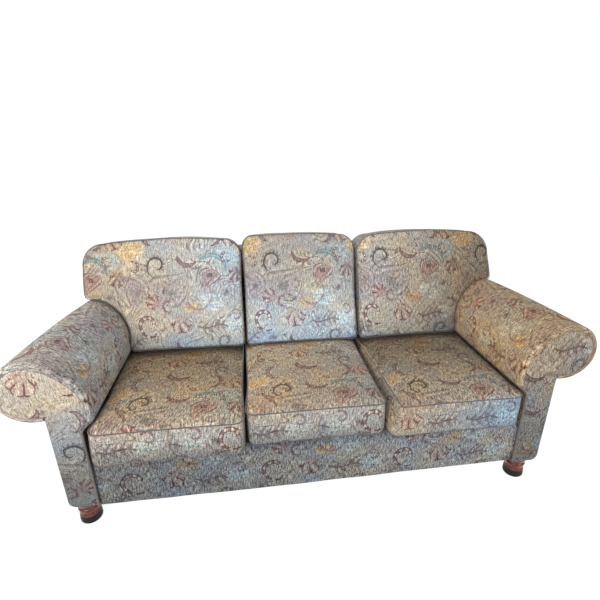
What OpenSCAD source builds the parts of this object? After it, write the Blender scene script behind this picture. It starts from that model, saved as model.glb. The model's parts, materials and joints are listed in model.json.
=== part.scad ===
// Three-seat rolled arm sofa with loose seat and back cushions.
// Millimetres, +Z up, front towards -Y, origin on the floor under the middle of the outline.

/* [Seat] */
// Width of the seat between the inside arms
seat_w = 1600; // [1400:1:1900]
// Depth of the seat, from the front of the middle cushion to the back cushions
seat_depth = 532; // [500:1:580]
// Height of the frame from its underside to the top of the deck
base_h = 217; // [200:1:240]
// Front of the front border behind the front of the middle cushion
border_back = 27; // [20:1:40]

/* [Seat cushions] */
// Front to back length of a seat cushion
cushion_d = 640; // [600:1:650]
// Height of a seat cushion from its base to its top welt
cushion_h = 137.7; // [120:0.1:150]
// Rise of the top above the welts
cushion_crown = 22; // [10:1:30]
// Corner radius in plan
cushion_r = 35; // [20:1:60]
// How far the sides draw in between the corners
cushion_pull = 4; // [1:0.5:8]
// Fullness of the front and rear boxing
boxing_bulge = 5; // [1:0.5:8]
// Gap between neighbouring cushions
cushion_gap = 1.5; // [1:0.1:4]
// Gap between an outer cushion and the inside arm below the seat
cushion_side_gap = 31; // [25:1:40]
// How far the left cushion stands forward of the middle one
lead_left = 41; // [30:1:60]
// How far the right cushion stands forward of the middle one
lead_right = 29; // [0:1:30]

/* [Arms] */
// Rise of the arm tops above the deck
arm_rise = 405; // [360:1:450]
// Middle of the roll outside the inside arm face
roll_out = 185; // [170:1:200]
// Radius of the roll at the front
roll_r = 112; // [104:1:118]
// How much smaller the radius is at the back
roll_taper = 30; // [14:1:34]
// How far the roll leans in towards the back
roll_lean = 55; // [30:1:60]
// Height of the flare from the upright inside arm to the arm top
flare_h = 181; // [160:1:190]
// Width of the arm below the roll, from the inside arm face
arm_w = 158; // [150:1:166]
// Depth of the recess of the inside arm beside the seat cushions
recess_d = 48; // [42:1:54]
// Front of the arm facings behind the front of the middle cushion
facing_back = 9; // [4:1:15]
// Thickness of the padded facings
facing_t = 14; // [10:1:18]
// Inset of a facing from the outline of the roll
facing_inset = 18; // [12:1:24]
// Padding over the arm frame
arm_pad_t = 26; // [20:1:30]

/* [Back] */
// Rise of the upholstered back frame above the deck
back_rise = 562; // [500:1:600]
// Rake of the inside back from the vertical, in degrees
back_rake = 18.4; // [14:0.1:20]
// Thickness of the back at its top
back_top_t = 81; // [76:1:95]
// How far the outside back leans out above the rear rail
back_lean_out = 45; // [35:1:55]
// Corner radius at the top of the back
back_corner_r = 90; // [60:1:110]
// Foam on the inside back
back_pad_t = 25; // [18:1:30]

/* [Back cushions] */
// Thickness of the boxing of a back cushion
back_cushion_t = 170; // [150:1:190]
// Height of a back cushion from its base to its top seam
back_cushion_h = 482; // [440:1:500]
// Fullness of the front face
back_crown = 35; // [20:1:40]
// Fullness of the top boxing
back_top_bulge = 14; // [4:1:18]
// Fall of a back cushion's top towards its rear seam
back_top_fall = 28; // [10:1:36]
// Width of the middle back cushion
back_mid_w = 550; // [520:1:580]
// How far the middle back cushion sits to the right
back_mid_shift = 13; // [0:1:20]
// Reach of the ears from the middle of the sofa past the inside arm face
ear_reach = 190; // [170:1:200]
// Corner radius at the top of an ear
ear_r = 115; // [90:1:125]
// Corner radius at the top of the middle cushion and beside it
back_cushion_r = 50; // [30:1:70]

/* [Feet] */
// Height of the feet
foot_h = 126; // [110:1:140]
// Diameter of the top collar
foot_collar_d = 98; // [94:1:102]
// Diameter of the neck
foot_neck_d = 74; // [70:1:78]
// Diameter of the bun
foot_bun_d = 84; // [80:1:90]
// Height of the dark base of a foot
foot_base_h = 36; // [30:1:40]
// Middle of a foot in from the outside arm
foot_in = 42; // [41:1:46]

/* [Frame] */
// Thickness of the rails
rail_t = 25; // [20:1:28]
// Thickness of the side rails and back posts
side_rail_t = 35; // [30:1:40]
// Height of the bottom rails
bottom_rail_h = 133; // [120:1:140]
// Thickness of the arm boards
board_t = 20; // [16:1:22]
// Thickness of the cover fabric with its backing
cover_t = 4; // [3:0.5:5]
// Diameter of the spring wire
wire_d = 4; // [3:0.5:5]
// Number of seat springs
spring_count = 9; // [7:1:11]
// Number of cross bars in one spring
spring_bars = 12; // [10:1:14]
// Length of the cross bars between the bends
spring_bar_l = 34; // [26:1:40]
// Thickness of the deck pad over the springs
deck_pad_t = 15; // [10:1:18]

/* [Hidden] */
$fn = 48;

// Clearances
rest_gap = 0.3;          // a loose cushion above or in front of what it rests on
fit_gap = 0.2;           // a piece of the fixed frame beside another
cap_gap = 1.2;           // the panel in the rear end of an arm, inside the tapering cover
board_gap = 0.6;         // a front arm board inside its padding
rear_board_gap = 6;      // a rear arm board inside its tapering padding
layer_gap = 0.1;         // between the raked layers of the back
arm_over_rail = 3;       // arm padding above the front rail
seam_gap = 0.5;          // an outside arm under the edge of the roll
arm_clear = 3;           // a back cushion beside the flare of an arm
back_gap = 2;            // between neighbouring back cushions
bore_gap = 0.2;          // round a bolt or a screw
cushion_rear_gap = 1;    // behind the seat cushions

// Heights above the floor
frame_z = foot_h;
plate_t = 3;
dust_t = 1.5;
rail_z = frame_z + plate_t;
rail_top = rail_z + bottom_rail_h;
deck_z = frame_z + base_h;
deck_cover_t = 3;
clip_t = 1.2;
spring_z = deck_z - deck_cover_t - deck_pad_t - clip_t - wire_d / 2;
spring_rail_top = spring_z - wire_d / 2;
seat_z = deck_z + rest_gap;
seat_rim = seat_z + cushion_h;
seat_top = seat_rim + cushion_crown;
back_cushion_z = seat_top + rest_gap;
arm_z = deck_z + arm_rise;
flare_z = arm_z - flare_h;
back_z = deck_z + back_rise;

// Depths
slope = tan(back_rake);
// Room for the seat from the front of the middle cushion to the inside back at the deck: the back
// cushions set it, unless the seat cushions are longer
seat_run = max(seat_depth + back_cushion_t + rest_gap - (seat_top - deck_z) * slope,
    cushion_d + boxing_bulge + cushion_rear_gap);
sofa_d = lead_left + boxing_bulge + seat_run + (back_z - deck_z) * slope + back_top_t;
rear_y = sofa_d / 2;
mid_y = boxing_bulge + lead_left - sofa_d / 2;
facing_y = mid_y + facing_back;
board_y = facing_y + facing_t;
border_y = mid_y + border_back;
rail_y = border_y + cover_t;
back_plane = mid_y + seat_run;
lower_rear_y = rear_y - back_lean_out;
deck_rear_y = back_plane + cover_t + back_pad_t;

// Widths
face_x = seat_w / 2;
recess_x = face_x + recess_d;
outer_x = face_x + arm_w;
roll_x = face_x + roll_out;
skin_t = cover_t + arm_pad_t;
side_rail_x = outer_x - cover_t - side_rail_t;
board_x = recess_x + skin_t;
cushion_half = recess_x - cushion_side_gap;
cushion_w = (2 * cushion_half - 2 * cushion_gap) / 3;
foot_x = outer_x - foot_in;
foot_front_in = 44;      // behind the front arm board
foot_rear_in = 35;       // in front of the rear rail
foot_front_y = board_y + board_t + foot_front_in;
foot_rear_y = lower_rear_y - cover_t - rail_t - foot_rear_in;

// Shape of the arms
recess_below = 26;       // start of the blend out of the recess, below the top welts
recess_above = 34;       // its end, above the top welts
arm_bottom = spring_rail_top + arm_over_rail;
recess_low = seat_rim - recess_below;
recess_high = seat_rim + recess_above;
flare_power = 1.7;
recess_steps = 4;
flare_steps = 7;
roll_steps = 12;
rear_board_s = 0.97;
pad_s = 0.992;
cap_s = 0.994;
stations = [0, 0.4, 0.62, 0.78, 0.9, pad_s, cap_s, 1];

// Plane of the inside back at a height
function back_y(z) = back_plane + max(0, z - deck_z) * slope;

// Plane of the outside back at a height
function rear_at(z) = lower_rear_y + back_lean_out * max(0, z - rail_top) / (back_z - rail_top);

function mix(a, b, t) = a + (b - a) * t;
function flip(points) = [for (i = [len(points) - 1:-1:0]) points[i]];

// Middle and radius of the roll, from the front at 0 to the back at 1
function roll_cx(s) = roll_x - roll_lean * pow(s, 3);
function roll_rad(s) = roll_r - roll_taper * pow(s, 3);
function arm_at(s, z) = board_y + s * (back_y(z) - board_y);

// Height of the flare at a distance in from the middle of the roll
function flare_point(s, inset, a) =
    let (cx = roll_cx(s), w = cx - face_x - inset, h = arm_z - inset - flare_z)
    [cx - w * pow(cos(a), 2 / flare_power), flare_z + h * pow(sin(a), 2 / flare_power)];

// Section of an arm in X and Z, from the bottom of the inside arm over the roll to its notch
function arm_path(s, inset, low_z, end_x) =
    let (
        cx = roll_cx(s),
        r = roll_rad(s) - inset,
        cz = arm_z - roll_rad(s),
        last = acos((end_x - cx) / r)
    )
    concat(
        [[recess_x + inset, low_z], [recess_x + inset, deck_z]],
        [for (k = [0:recess_steps])
            [face_x + inset + recess_d * (1 + cos(180 * k / recess_steps)) / 2,
                mix(recess_low, recess_high, k / recess_steps)]],
        [for (k = [0:flare_steps]) flare_point(s, inset, 90 * k / flare_steps)],
        [for (k = [1:roll_steps])
            let (a = mix(90, -last, k / roll_steps)) [cx + r * cos(a), cz + r * sin(a)]]
    );

// Whole section of an arm, closed down its outside
function arm_section(s, inset, low_z, end_x) =
    concat(arm_path(s, inset, low_z, end_x), [[end_x, low_z]]);

module along_x(x0, x1) {
    translate([x0, 0, 0]) rotate([90, 0, 90]) linear_extrude(x1 - x0) children();
}

module along_y(y0, y1) {
    translate([0, y1, 0]) rotate([90, 0, 0]) linear_extrude(y1 - y0) children();
}

module box(low, high) {
    translate(low) cube(high - low);
}

module both_sides() {
    children();
    mirror([1, 0, 0]) children();
}

// Sheet over an arm between two insets, lofted from the front to the raked back
module arm_band(inset_0, inset_1, end_0, end_1, s_end) {
    ring = [for (s = stations) if (s <= s_end) s];
    sections = [for (s = ring)
        concat(arm_path(s, inset_0, arm_bottom, end_0),
            flip(arm_path(s, inset_1, arm_bottom, end_1)))];
    n = len(sections[0]);
    half = n / 2;
    last = len(ring) - 1;
    points = [for (i = [0:last]) for (p = sections[i]) [p[0], arm_at(ring[i], p[1]), p[1]]];
    // The two faces are cut along the same diagonals, so that sheets in each other lie face to face
    sides = [for (i = [0:last - 1]) for (k = [0:n - 1])
        let (a = i * n + k, b = i * n + (k + 1) % n, c = b + n, d = a + n)
        each k < half ? [[a, c, b], [a, d, c]] : [[a, d, b], [b, d, c]]];
    front = [for (k = [0:half - 2]) let (a = k, b = k + 1, c = n - 2 - k, d = n - 1 - k)
        each [[a, b, c], [a, c, d]]];
    e = last * n;
    rear = [for (f = front) [e + f[0], e + f[2], e + f[1]]];
    polyhedron(points, concat(sides, front, rear));
}

// Slice of a whole arm section beside the raked back
module arm_slice(s_0, s_1, inset, low_z, end_x) {
    intersection() {
        along_y(board_y, rear_y) polygon(arm_section(1, inset, low_z, end_x));
        along_x(face_x, roll_x + roll_r) polygon([
            [arm_at(s_0, low_z), low_z], [arm_at(s_1, low_z), low_z],
            [arm_at(s_1, deck_z), deck_z], [arm_at(s_1, arm_z), arm_z],
            [arm_at(s_0, arm_z), arm_z], [arm_at(s_0, deck_z), deck_z]
        ]);
    }
}

// Fore and aft arm rail from the front board to the rear board
module arm_rail(x0, x1, z0, z1) {
    y0 = board_y + board_t;
    along_x(x0, x1) polygon([
        [y0, z0], [arm_at(rear_board_s, z0), z0], [arm_at(rear_board_s, z1), z1], [y0, z1]
    ]);
}

module front_rail() {
    color("burlywood") box([-board_x, rail_y, rail_z], [board_x, rail_y + rail_t, spring_rail_top]);
}

module rear_rail() {
    y1 = lower_rear_y - cover_t;
    color("burlywood") box([-side_rail_x, y1 - rail_t, rail_z], [side_rail_x, y1, rail_top]);
}

// Rail under the rear ends of the springs
spring_rail_y = back_plane + 6;
spring_rail_t = 35;
spring_rail_h = 60;

module spring_rail() {
    color("burlywood") box([-side_rail_x, spring_rail_y, spring_rail_top - spring_rail_h],
        [side_rail_x, spring_rail_y + spring_rail_t, spring_rail_top]);
}

// The four places of a foot, as the sign of X and the middle in Y
foot_places = [[-1, foot_front_y], [1, foot_front_y], [-1, foot_rear_y], [1, foot_rear_y]];
bolt_d = 8;
bolt_up = 55;
bolt_down = 45;
plate_w = 60;
screw_d = 4;
screw_l = 22;
screw_pitch = 20;

module at_foot(place) {
    translate([place[0] * foot_x, place[1], 0]) children();
}

// Holes that the bolt and the four screws of a foot make in the frame
module foot_holes(place) {
    at_foot(place) {
        translate([0, 0, frame_z - bolt_down - bore_gap])
            cylinder(d = bolt_d + 2 * bore_gap, h = bolt_down + bolt_up + 2 * bore_gap);
        for (x = [-1, 1]) for (y = [-1, 1]) translate([x * screw_pitch, y * screw_pitch, frame_z])
            cylinder(d = screw_d + 2 * bore_gap, h = screw_l + bore_gap);
    }
}

module side_rail() {
    difference() {
        box([side_rail_x, board_y + board_t, rail_z],
            [side_rail_x + side_rail_t, lower_rear_y - cover_t, rail_top]);
        foot_holes(foot_places[1]);
        foot_holes(foot_places[3]);
    }
}

module side_rail_left() {
    color("burlywood") mirror([1, 0, 0]) side_rail();
}

module side_rail_right() {
    color("burlywood") side_rail();
}

// Two rails from the front rail to the rear rail, at the joins between the cushions
cross_rail_w = 50;
cross_rail_h = 70;

module cross_rails() {
    x = (cushion_w + cushion_gap) / 2;
    y1 = lower_rear_y - cover_t - rail_t;
    color("burlywood") both_sides()
        box([x, rail_y + rail_t, rail_z], [x + cross_rail_w, y1, rail_z + cross_rail_h]);
}

block_h = 80;
block_l = 120;
block_in = 100;

module front_block() {
    y0 = board_y + board_t;
    y1 = rail_y + rail_t;
    translate([0, 0, rail_z]) linear_extrude(block_h) polygon([
        [side_rail_x, y0], [side_rail_x, y0 + block_l], [board_x - block_in, y1],
        [board_x, y1], [board_x, y0]
    ]);
}

module rear_block() {
    y1 = lower_rear_y - cover_t - rail_t;
    translate([0, 0, rail_z]) linear_extrude(block_h) polygon([
        [side_rail_x, y1], [side_rail_x - block_l, y1], [side_rail_x, y1 - block_l]
    ]);
}

module corner_blocks() {
    color("tan") both_sides() difference() {
        union() {
            front_block();
            rear_block();
        }
        foot_holes(foot_places[1]);
        foot_holes(foot_places[3]);
    }
}

module arm_board_front() {
    along_y(board_y, board_y + board_t)
        polygon(arm_section(0, skin_t + board_gap, rail_z, outer_x - cover_t));
}

module arm_board_front_left() {
    color("tan") mirror([1, 0, 0]) arm_board_front();
}

module arm_board_front_right() {
    color("tan") arm_board_front();
}

module arm_board_rear() {
    arm_slice(rear_board_s, pad_s, skin_t + rear_board_gap, rail_top, outer_x - cover_t);
}

module arm_board_rear_left() {
    color("tan") mirror([1, 0, 0]) arm_board_rear();
}

module arm_board_rear_right() {
    color("tan") arm_board_rear();
}

// Rail inside the roll, as wide as it is at its narrow rear end
arm_top_rail_w = 56;
arm_top_rail_h = 40;
arm_top_rail_drop = 26;

module arm_top_rail() {
    x = roll_cx(1) - arm_top_rail_w / 2;
    z = arm_z - roll_rad(1) - arm_top_rail_drop;
    arm_rail(x, x + arm_top_rail_w, z, z + arm_top_rail_h);
}

module arm_top_rail_left() {
    color("burlywood") mirror([1, 0, 0]) arm_top_rail();
}

module arm_top_rail_right() {
    color("burlywood") arm_top_rail();
}

arm_tack_rail_h = 60;
arm_tack_rail_drop = 70;

module arm_tack_rail() {
    z = recess_low - arm_tack_rail_drop;
    arm_rail(board_x, board_x + rail_t, z, z + arm_tack_rail_h);
}

module arm_tack_rail_left() {
    color("burlywood") mirror([1, 0, 0]) arm_tack_rail();
}

module arm_tack_rail_right() {
    color("burlywood") arm_tack_rail();
}

// Front view of the back with its rounded top corners
module back_outline(inset) {
    r = back_corner_r - inset;
    x = outer_x - inset;
    along_y(back_plane, rear_y + 10) {
        translate([-x, frame_z]) square([2 * x, back_z - inset - frame_z - r]);
        translate([-x + r, frame_z]) square([2 * (x - r), back_z - inset - frame_z]);
        for (k = [-1, 1]) translate([k * (x - r), back_z - inset - r]) circle(r);
    }
}

// Side view of a raked layer of the back, between two distances behind its front
module back_layer(near, far, z0, z1, x) {
    along_x(-x, x) polygon([
        [back_y(z0) + near, z0], [back_y(z0) + far, z0],
        [back_y(z1) + far, z1], [back_y(z1) + near, z1]
    ]);
}

web_t = 2;
frame_near = cover_t + back_pad_t + web_t;

module back_post() {
    intersection() {
        along_x(side_rail_x, outer_x - cover_t) polygon([
            [back_plane + frame_near, rail_top], [rear_at(rail_top) - cover_t, rail_top],
            [rear_at(back_z) - cover_t, back_z], [back_y(back_z) + frame_near, back_z],
            [back_plane + frame_near, deck_z]
        ]);
        back_outline(cover_t);
    }
}

module back_post_left() {
    color("burlywood") mirror([1, 0, 0]) back_post();
}

module back_post_right() {
    color("burlywood") back_post();
}

top_rail_h = 75;
tack_rail_h = 60;
tack_rail_up = 40;
upright_w = 60;
top_rail_z = back_z - cover_t - top_rail_h;
tack_rail_z = deck_z + tack_rail_up;

module back_uprights() {
    x = (cushion_w - upright_w) / 2;
    color("burlywood") intersection() {
        back_layer(frame_near, frame_near + rail_t, tack_rail_z + tack_rail_h, top_rail_z, outer_x);
        both_sides() box([x, back_plane, deck_z], [x + upright_w, rear_y, back_z]);
    }
}

module back_top_rail() {
    color("burlywood") intersection() {
        back_layer(frame_near, frame_near + rail_t, top_rail_z, back_z, side_rail_x);
        back_outline(cover_t);
    }
}

module back_tack_rail() {
    color("burlywood") back_layer(frame_near, frame_near + rail_t, tack_rail_z,
        tack_rail_z + tack_rail_h, side_rail_x);
}

// Zigzag seat springs from the front rail to the spring rail
spring_y0 = rail_y + rail_t / 2;
spring_y1 = spring_rail_y + spring_rail_t / 2;
bar_pitch = (spring_y1 - spring_y0) / (spring_bars - 1);
spring_in = 75;
spring_span = 2 * (recess_x - spring_in);

function spring_at(i) = -spring_span / 2 + spring_span * i / (spring_count - 1);

bend_steps = 6;

// Outline of one side of the wire: the bends are half rings between the cross bars
function spring_side(out) =
    let (x = spring_bar_l / 2, h = wire_d / 2)
    [for (i = [0:spring_bars - 2])
        let (k = i % 2 == 0 ? 1 : -1, r = bar_pitch / 2 + k * out * h)
        for (j = [0:bend_steps])
            let (a = -90 + 180 * j / bend_steps)
            [k * (x + r * cos(a)), (i + 0.5) * bar_pitch + r * sin(a)]];

module spring() {
    x = spring_bar_l / 2;
    h = wire_d / 2;
    y1 = (spring_bars - 1) * bar_pitch;
    end_x = spring_bars % 2 == 0 ? x : -x;
    translate([0, 0, -h]) linear_extrude(wire_d) polygon(concat(
        [[-x, -h]], spring_side(1), [[end_x, y1 + h], [end_x, y1 - h]],
        flip(spring_side(-1)), [[-x, h]]
    ));
}

module seat_springs() {
    color("silver") for (i = [0:spring_count - 1])
        translate([spring_at(i), spring_y0, spring_z]) spring();
}

clip_l = 18;

// Straps that hold the end bars of the springs down on the rails
module spring_clips() {
    slot = wire_d + 2 * bore_gap;
    color("dimgray") for (i = [0:spring_count - 1]) for (y = [spring_y0, spring_y1])
        translate([spring_at(i), y, spring_rail_top]) difference() {
            translate([-clip_l / 2, -wire_d, 0]) cube([clip_l, 2 * wire_d, wire_d + clip_t]);
            translate([-clip_l, -slot / 2, -1]) cube([2 * clip_l, slot, wire_d + 1]);
        }
}

tie_d = 2.5;
tie_bar = 4;

module spring_tie_wires() {
    l = spring_span + spring_bar_l;
    color("dimgray") for (k = [tie_bar, spring_bars - tie_bar])
        translate([-l / 2, spring_y0 + k * bar_pitch, spring_z - wire_d / 2 - tie_d / 2])
            rotate([0, 90, 0]) cylinder(d = tie_d, h = l);
}

web_w = 50;
web_count = 5;
web_in = 2;

// Straps across the back, the lowest on the tack rail and the highest on the top rail
module back_webbing() {
    first = tack_rail_z + (tack_rail_h - web_w);
    step = (top_rail_z - first) / (web_count - 1);
    near = cover_t + back_pad_t + layer_gap;
    color("saddlebrown") intersection() {
        for (i = [0:web_count - 1])
            back_layer(near, frame_near - layer_gap, first + i * step, first + i * step + web_w,
                outer_x);
        back_outline(cover_t + web_in);
    }
}

module deck_pad() {
    x = recess_x - fit_gap;
    z1 = deck_z - deck_cover_t;
    color("ivory") box([-x, rail_y, z1 - deck_pad_t], [x, deck_rear_y, z1]);
}

module deck_cover() {
    x = recess_x - fit_gap;
    color("dimgray") box([-x, border_y, deck_z - deck_cover_t], [x, deck_rear_y, deck_z]);
}

module front_border() {
    x = recess_x - fit_gap;
    color("rosybrown") box([-x, border_y, frame_z], [x, rail_y, deck_z - deck_cover_t]);
}

module arm_pad() {
    arm_band(cover_t, skin_t, outer_x - cover_t, outer_x - cover_t, pad_s);
}

module arm_pad_left() {
    color("ivory") mirror([1, 0, 0]) arm_pad();
}

module arm_pad_right() {
    color("ivory") arm_pad();
}

// Cover of an arm, with a stiffened panel in its rear end
module arm_cover() {
    arm_band(0, cover_t, outer_x, outer_x - cover_t, 1);
    arm_slice(cap_s, 1, cover_t + cap_gap, arm_bottom + 1, outer_x - cover_t - fit_gap);
}

module arm_cover_left() {
    color("rosybrown") mirror([1, 0, 0]) arm_cover();
}

module arm_cover_right() {
    color("rosybrown") arm_cover();
}

// Where a facing leaves the roll, as a share of the radius in from its middle
facing_turn = 0.33;
facing_edge = 2;
facing_notch = 12;

module arm_facing() {
    edge_x = outer_x - facing_edge;
    path = arm_path(0, facing_inset, frame_z, roll_x - roll_r * facing_turn);
    n = len(path);
    along_y(facing_y, board_y) polygon(concat(
        [[recess_x + facing_edge, frame_z], [recess_x + facing_edge, recess_high]],
        [for (i = [recess_steps + 4:n - 1]) path[i]],
        [[edge_x, path[n - 1][1] - facing_notch], [edge_x, frame_z]]
    ));
}

module arm_facing_left() {
    color("rosybrown") mirror([1, 0, 0]) arm_facing();
}

module arm_facing_right() {
    color("rosybrown") arm_facing();
}

// Outside arm from the base to the notch under the roll
module outside_arm() {
    top = [for (s = stations)
        let (p = arm_path(s, 0, arm_bottom, outer_x), z = p[len(p) - 1][1] - seam_gap)
        [arm_at(s, z), z]];
    along_x(outer_x - cover_t, outer_x) polygon(concat(
        [[board_y, frame_z]], top, [[back_plane, deck_z], [back_plane, frame_z]]
    ));
}

module outside_arm_left() {
    color("rosybrown") mirror([1, 0, 0]) outside_arm();
}

module outside_arm_right() {
    color("rosybrown") outside_arm();
}

module back_pad() {
    color("ivory") intersection() {
        back_layer(cover_t + layer_gap, cover_t + back_pad_t, deck_z, back_z, outer_x);
        back_outline(cover_t);
    }
}

// Inside back with its sides and top
module back_cover() {
    color("rosybrown") difference() {
        intersection() {
            along_x(-outer_x, outer_x) polygon([
                [back_plane, frame_z], [lower_rear_y - cover_t, frame_z],
                [lower_rear_y - cover_t, rail_top], [rear_y - cover_t, back_z],
                [back_y(back_z), back_z], [back_plane, deck_z]
            ]);
            back_outline(0);
        }
        intersection() {
            along_x(-outer_x, outer_x) polygon([
                [back_plane + cover_t, frame_z - 1], [rear_y + 1, frame_z - 1],
                [rear_y + 1, back_z], [back_y(back_z) + cover_t, back_z],
                [back_plane + cover_t, deck_z]
            ]);
            back_outline(cover_t);
        }
        box([-outer_x + cover_t, back_plane - 1, frame_z - 1],
            [outer_x - cover_t, rear_y, deck_z]);
    }
}

module outside_back() {
    color("rosybrown") intersection() {
        along_x(-outer_x, outer_x) polygon([
            [lower_rear_y - cover_t, frame_z], [lower_rear_y, frame_z],
            [lower_rear_y, rail_top], [rear_y, back_z], [rear_y - cover_t, back_z],
            [lower_rear_y - cover_t, rail_top]
        ]);
        back_outline(0);
    }
}

// Thin cloth under the frame, cut round the mounting plates
module dust_cover() {
    x = outer_x - cover_t;
    cut = plate_w / 2 + 1;
    color("black") difference() {
        box([-x, rail_y + cover_t, rail_z - dust_t], [x, lower_rear_y - cover_t, rail_z]);
        for (place = foot_places) at_foot(place)
            box([-cut, -cut, frame_z], [cut, cut, rail_z + 1]);
    }
}

// Turned profile of a foot above its dark base, as radius and height
waist_h = 16;
ring_r = 8;
ring_out = 6;
collar_edge = 8;

function foot_profile() =
    let (
        flare = foot_bun_d / 2 - 1,
        neck = foot_neck_d / 2,
        collar = foot_collar_d / 2,
        z1 = foot_base_h,
        waist_z = z1 + waist_h,
        ring_z = waist_z + 14,
        cup_z = ring_z + ring_r + 1
    )
    concat(
        [[0, z1]],
        [for (t = [0:0.2:1]) [mix(flare, neck, sin(90 * t)), mix(z1, waist_z, t)]],
        [for (a = [-60:20:60]) [neck - 1 + ring_out * cos(a), ring_z + ring_r * sin(a)]],
        [for (t = [0:0.125:1])
            [mix(neck + 1, collar, sin(90 * t)), mix(cup_z, foot_h - collar_edge, t)]],
        [[collar, foot_h], [0, foot_h]]
    );

module foot(place) {
    color("sienna") difference() {
        at_foot(place) rotate_extrude() polygon(foot_profile());
        foot_holes(place);
    }
}

module foot_front_left() {
    foot(foot_places[0]);
}

module foot_front_right() {
    foot(foot_places[1]);
}

module foot_rear_left() {
    foot(foot_places[2]);
}

module foot_rear_right() {
    foot(foot_places[3]);
}

module foot_bases() {
    r = foot_bun_d / 2;
    edge = 10;
    color([0.1, 0.08, 0.07]) for (place = foot_places) at_foot(place) rotate_extrude()
        polygon(concat(
            [[0, 0]],
            [for (a = [-90:15:0]) [r - edge + edge * cos(a), edge + edge * sin(a)]],
            [[r - 1, foot_base_h], [0, foot_base_h]]
        ));
}

module hanger_bolts() {
    color("silver") for (place = foot_places) at_foot(place)
        translate([0, 0, frame_z - bolt_down]) cylinder(d = bolt_d, h = bolt_down + bolt_up);
}

module mounting_plates() {
    color("gray") for (place = foot_places) difference() {
        at_foot(place) translate([-plate_w / 2, -plate_w / 2, frame_z])
            cube([plate_w, plate_w, plate_t]);
        foot_holes(place);
    }
}

module plate_screws() {
    color("silver") for (place = foot_places) at_foot(place)
        for (x = [-1, 1]) for (y = [-1, 1])
            translate([x * screw_pitch, y * screw_pitch, frame_z])
                cylinder(d = screw_d, h = screw_l);
}

// Middle in X and front in Y of the seat cushions, left to right
seat_places = [
    [-(cushion_w + cushion_gap), mid_y - lead_left],
    [0, mid_y],
    [cushion_w + cushion_gap, mid_y - lead_right]
];

corner_steps = 3;
side_steps = 6;

// Plan of a seat cushion: rounded corners, with the sides drawn in between them
function seat_outline(w, d) =
    let (
        r = cushion_r,
        x = w / 2 - r,
        y = d / 2 - r,
        mid = [[x, -y], [x, y], [-x, y], [-x, -y]],
        ends = [for (i = [0:3]) let (j = (i + 1) % 4)
            [mid[i] + r * [cos(90 * i), sin(90 * i)], mid[j] + r * [cos(90 * i), sin(90 * i)]]]
    )
    [for (i = [0:3]) each concat(
        [for (k = [0:corner_steps])
            let (a = 90 * i - 90 + 90 * k / corner_steps) mid[i] + r * [cos(a), sin(a)]],
        [for (k = [1:side_steps - 1])
            let (q = 2 * k / side_steps - 1, in = cushion_pull * (1 - q * q))
            mix(ends[i][0], ends[i][1], k / side_steps) - in * [cos(90 * i), sin(90 * i)]]
    )];

// Rise of the top of a seat cushion, held level at the back where the back cushions rest
rear_level = 0.8;
function seat_rise(x, y, w, d) =
    let (
        u = min(1, abs(2 * x / w)),
        v = max(-1, min(1, 2 * y / d)),
        side = 1 - pow(u, 4),
        run = v < 0 ? 1 - pow(-v, 4) : 1 - pow(max(0, v - rear_level) / (1 - rear_level), 2)
    )
    cushion_crown * side * run;

// Closed solid through a stack of equal rings, with a middle point at each end
module ring_solid(rings, first, last) {
    n = len(rings[0]);
    m = len(rings);
    points = concat([for (ring = rings) each ring], [first, last]);
    walls = [for (i = [0:m - 2]) for (k = [0:n - 1])
        let (a = i * n + k, b = i * n + (k + 1) % n, c = b + n, d = a + n)
        each [[a, c, b], [a, d, c]]];
    start = [for (k = [0:n - 1]) [m * n, k, (k + 1) % n]];
    end = [for (k = [0:n - 1]) [m * n + 1, (m - 1) * n + (k + 1) % n, (m - 1) * n + k]];
    polyhedron(points, concat(walls, start, end));
}

core_in = 18;
core_z = 12;
edge_draw = 10;
edge_h = 8;
fan = [0.35, 0.6, 0.78, 0.9, 0.97];

module seat_core_block(grow) {
    w = cushion_w - 2 * core_in + 2 * grow;
    d = cushion_d - 2 * core_in + 2 * grow;
    translate([-w / 2, -d / 2, core_z - grow]) cube([w, d, cushion_h - 2 * core_z + 2 * grow]);
}

module at_seat(i) {
    translate([seat_places[i][0], seat_places[i][1] + cushion_d / 2, seat_z]) children();
}

module seat_cover(i) {
    w = cushion_w;
    d = cushion_d;
    edge = seat_outline(w, d);
    boxing = [[0, -edge_draw], [edge_h, 0], [cushion_h * 0.35, boxing_bulge],
        [cushion_h * 0.7, boxing_bulge], [cushion_h, 0]];
    walls = [for (b = boxing) [for (p = edge)
        b[1] < 0 ? [p[0] * (1 + 2 * b[1] / w), p[1] * (1 + 2 * b[1] / d), b[0]]
            : [p[0], p[1] * (1 + 2 * b[1] / d), b[0]]]];
    top = [for (t = flip(fan)) [for (p = edge)
        [p[0] * t, p[1] * t, cushion_h + seat_rise(p[0] * t, p[1] * t, w, d)]]];
    color("tan") at_seat(i) difference() {
        ring_solid(concat(walls, top), [0, 0, 0], [0, 0, cushion_h + cushion_crown]);
        seat_core_block(rest_gap);
    }
}

module seat_cover_left() {
    seat_cover(0);
}

module seat_cover_middle() {
    seat_cover(1);
}

module seat_cover_right() {
    seat_cover(2);
}

module seat_core(i) {
    color("ivory") at_seat(i) seat_core_block(0);
}

module seat_core_left() {
    seat_core(0);
}

module seat_core_middle() {
    seat_core(1);
}

module seat_core_right() {
    seat_core(2);
}

// Back cushions, drawn in X and Z and laid on the raked inside back
back_bottom_r = 22;
ear_tip_r = 20;
back_top_z = back_cushion_z + back_cushion_h;

// Height of a back cushion's top seam at a distance behind its front seam
function back_seam_z(depth) = back_top_z - back_top_fall * depth / back_cushion_t;
inner_left = back_mid_w / 2 + back_gap - back_mid_shift;
inner_right = back_mid_w / 2 + back_gap + back_mid_shift;
run_at_flare = back_y(arm_z) - board_y;

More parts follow.
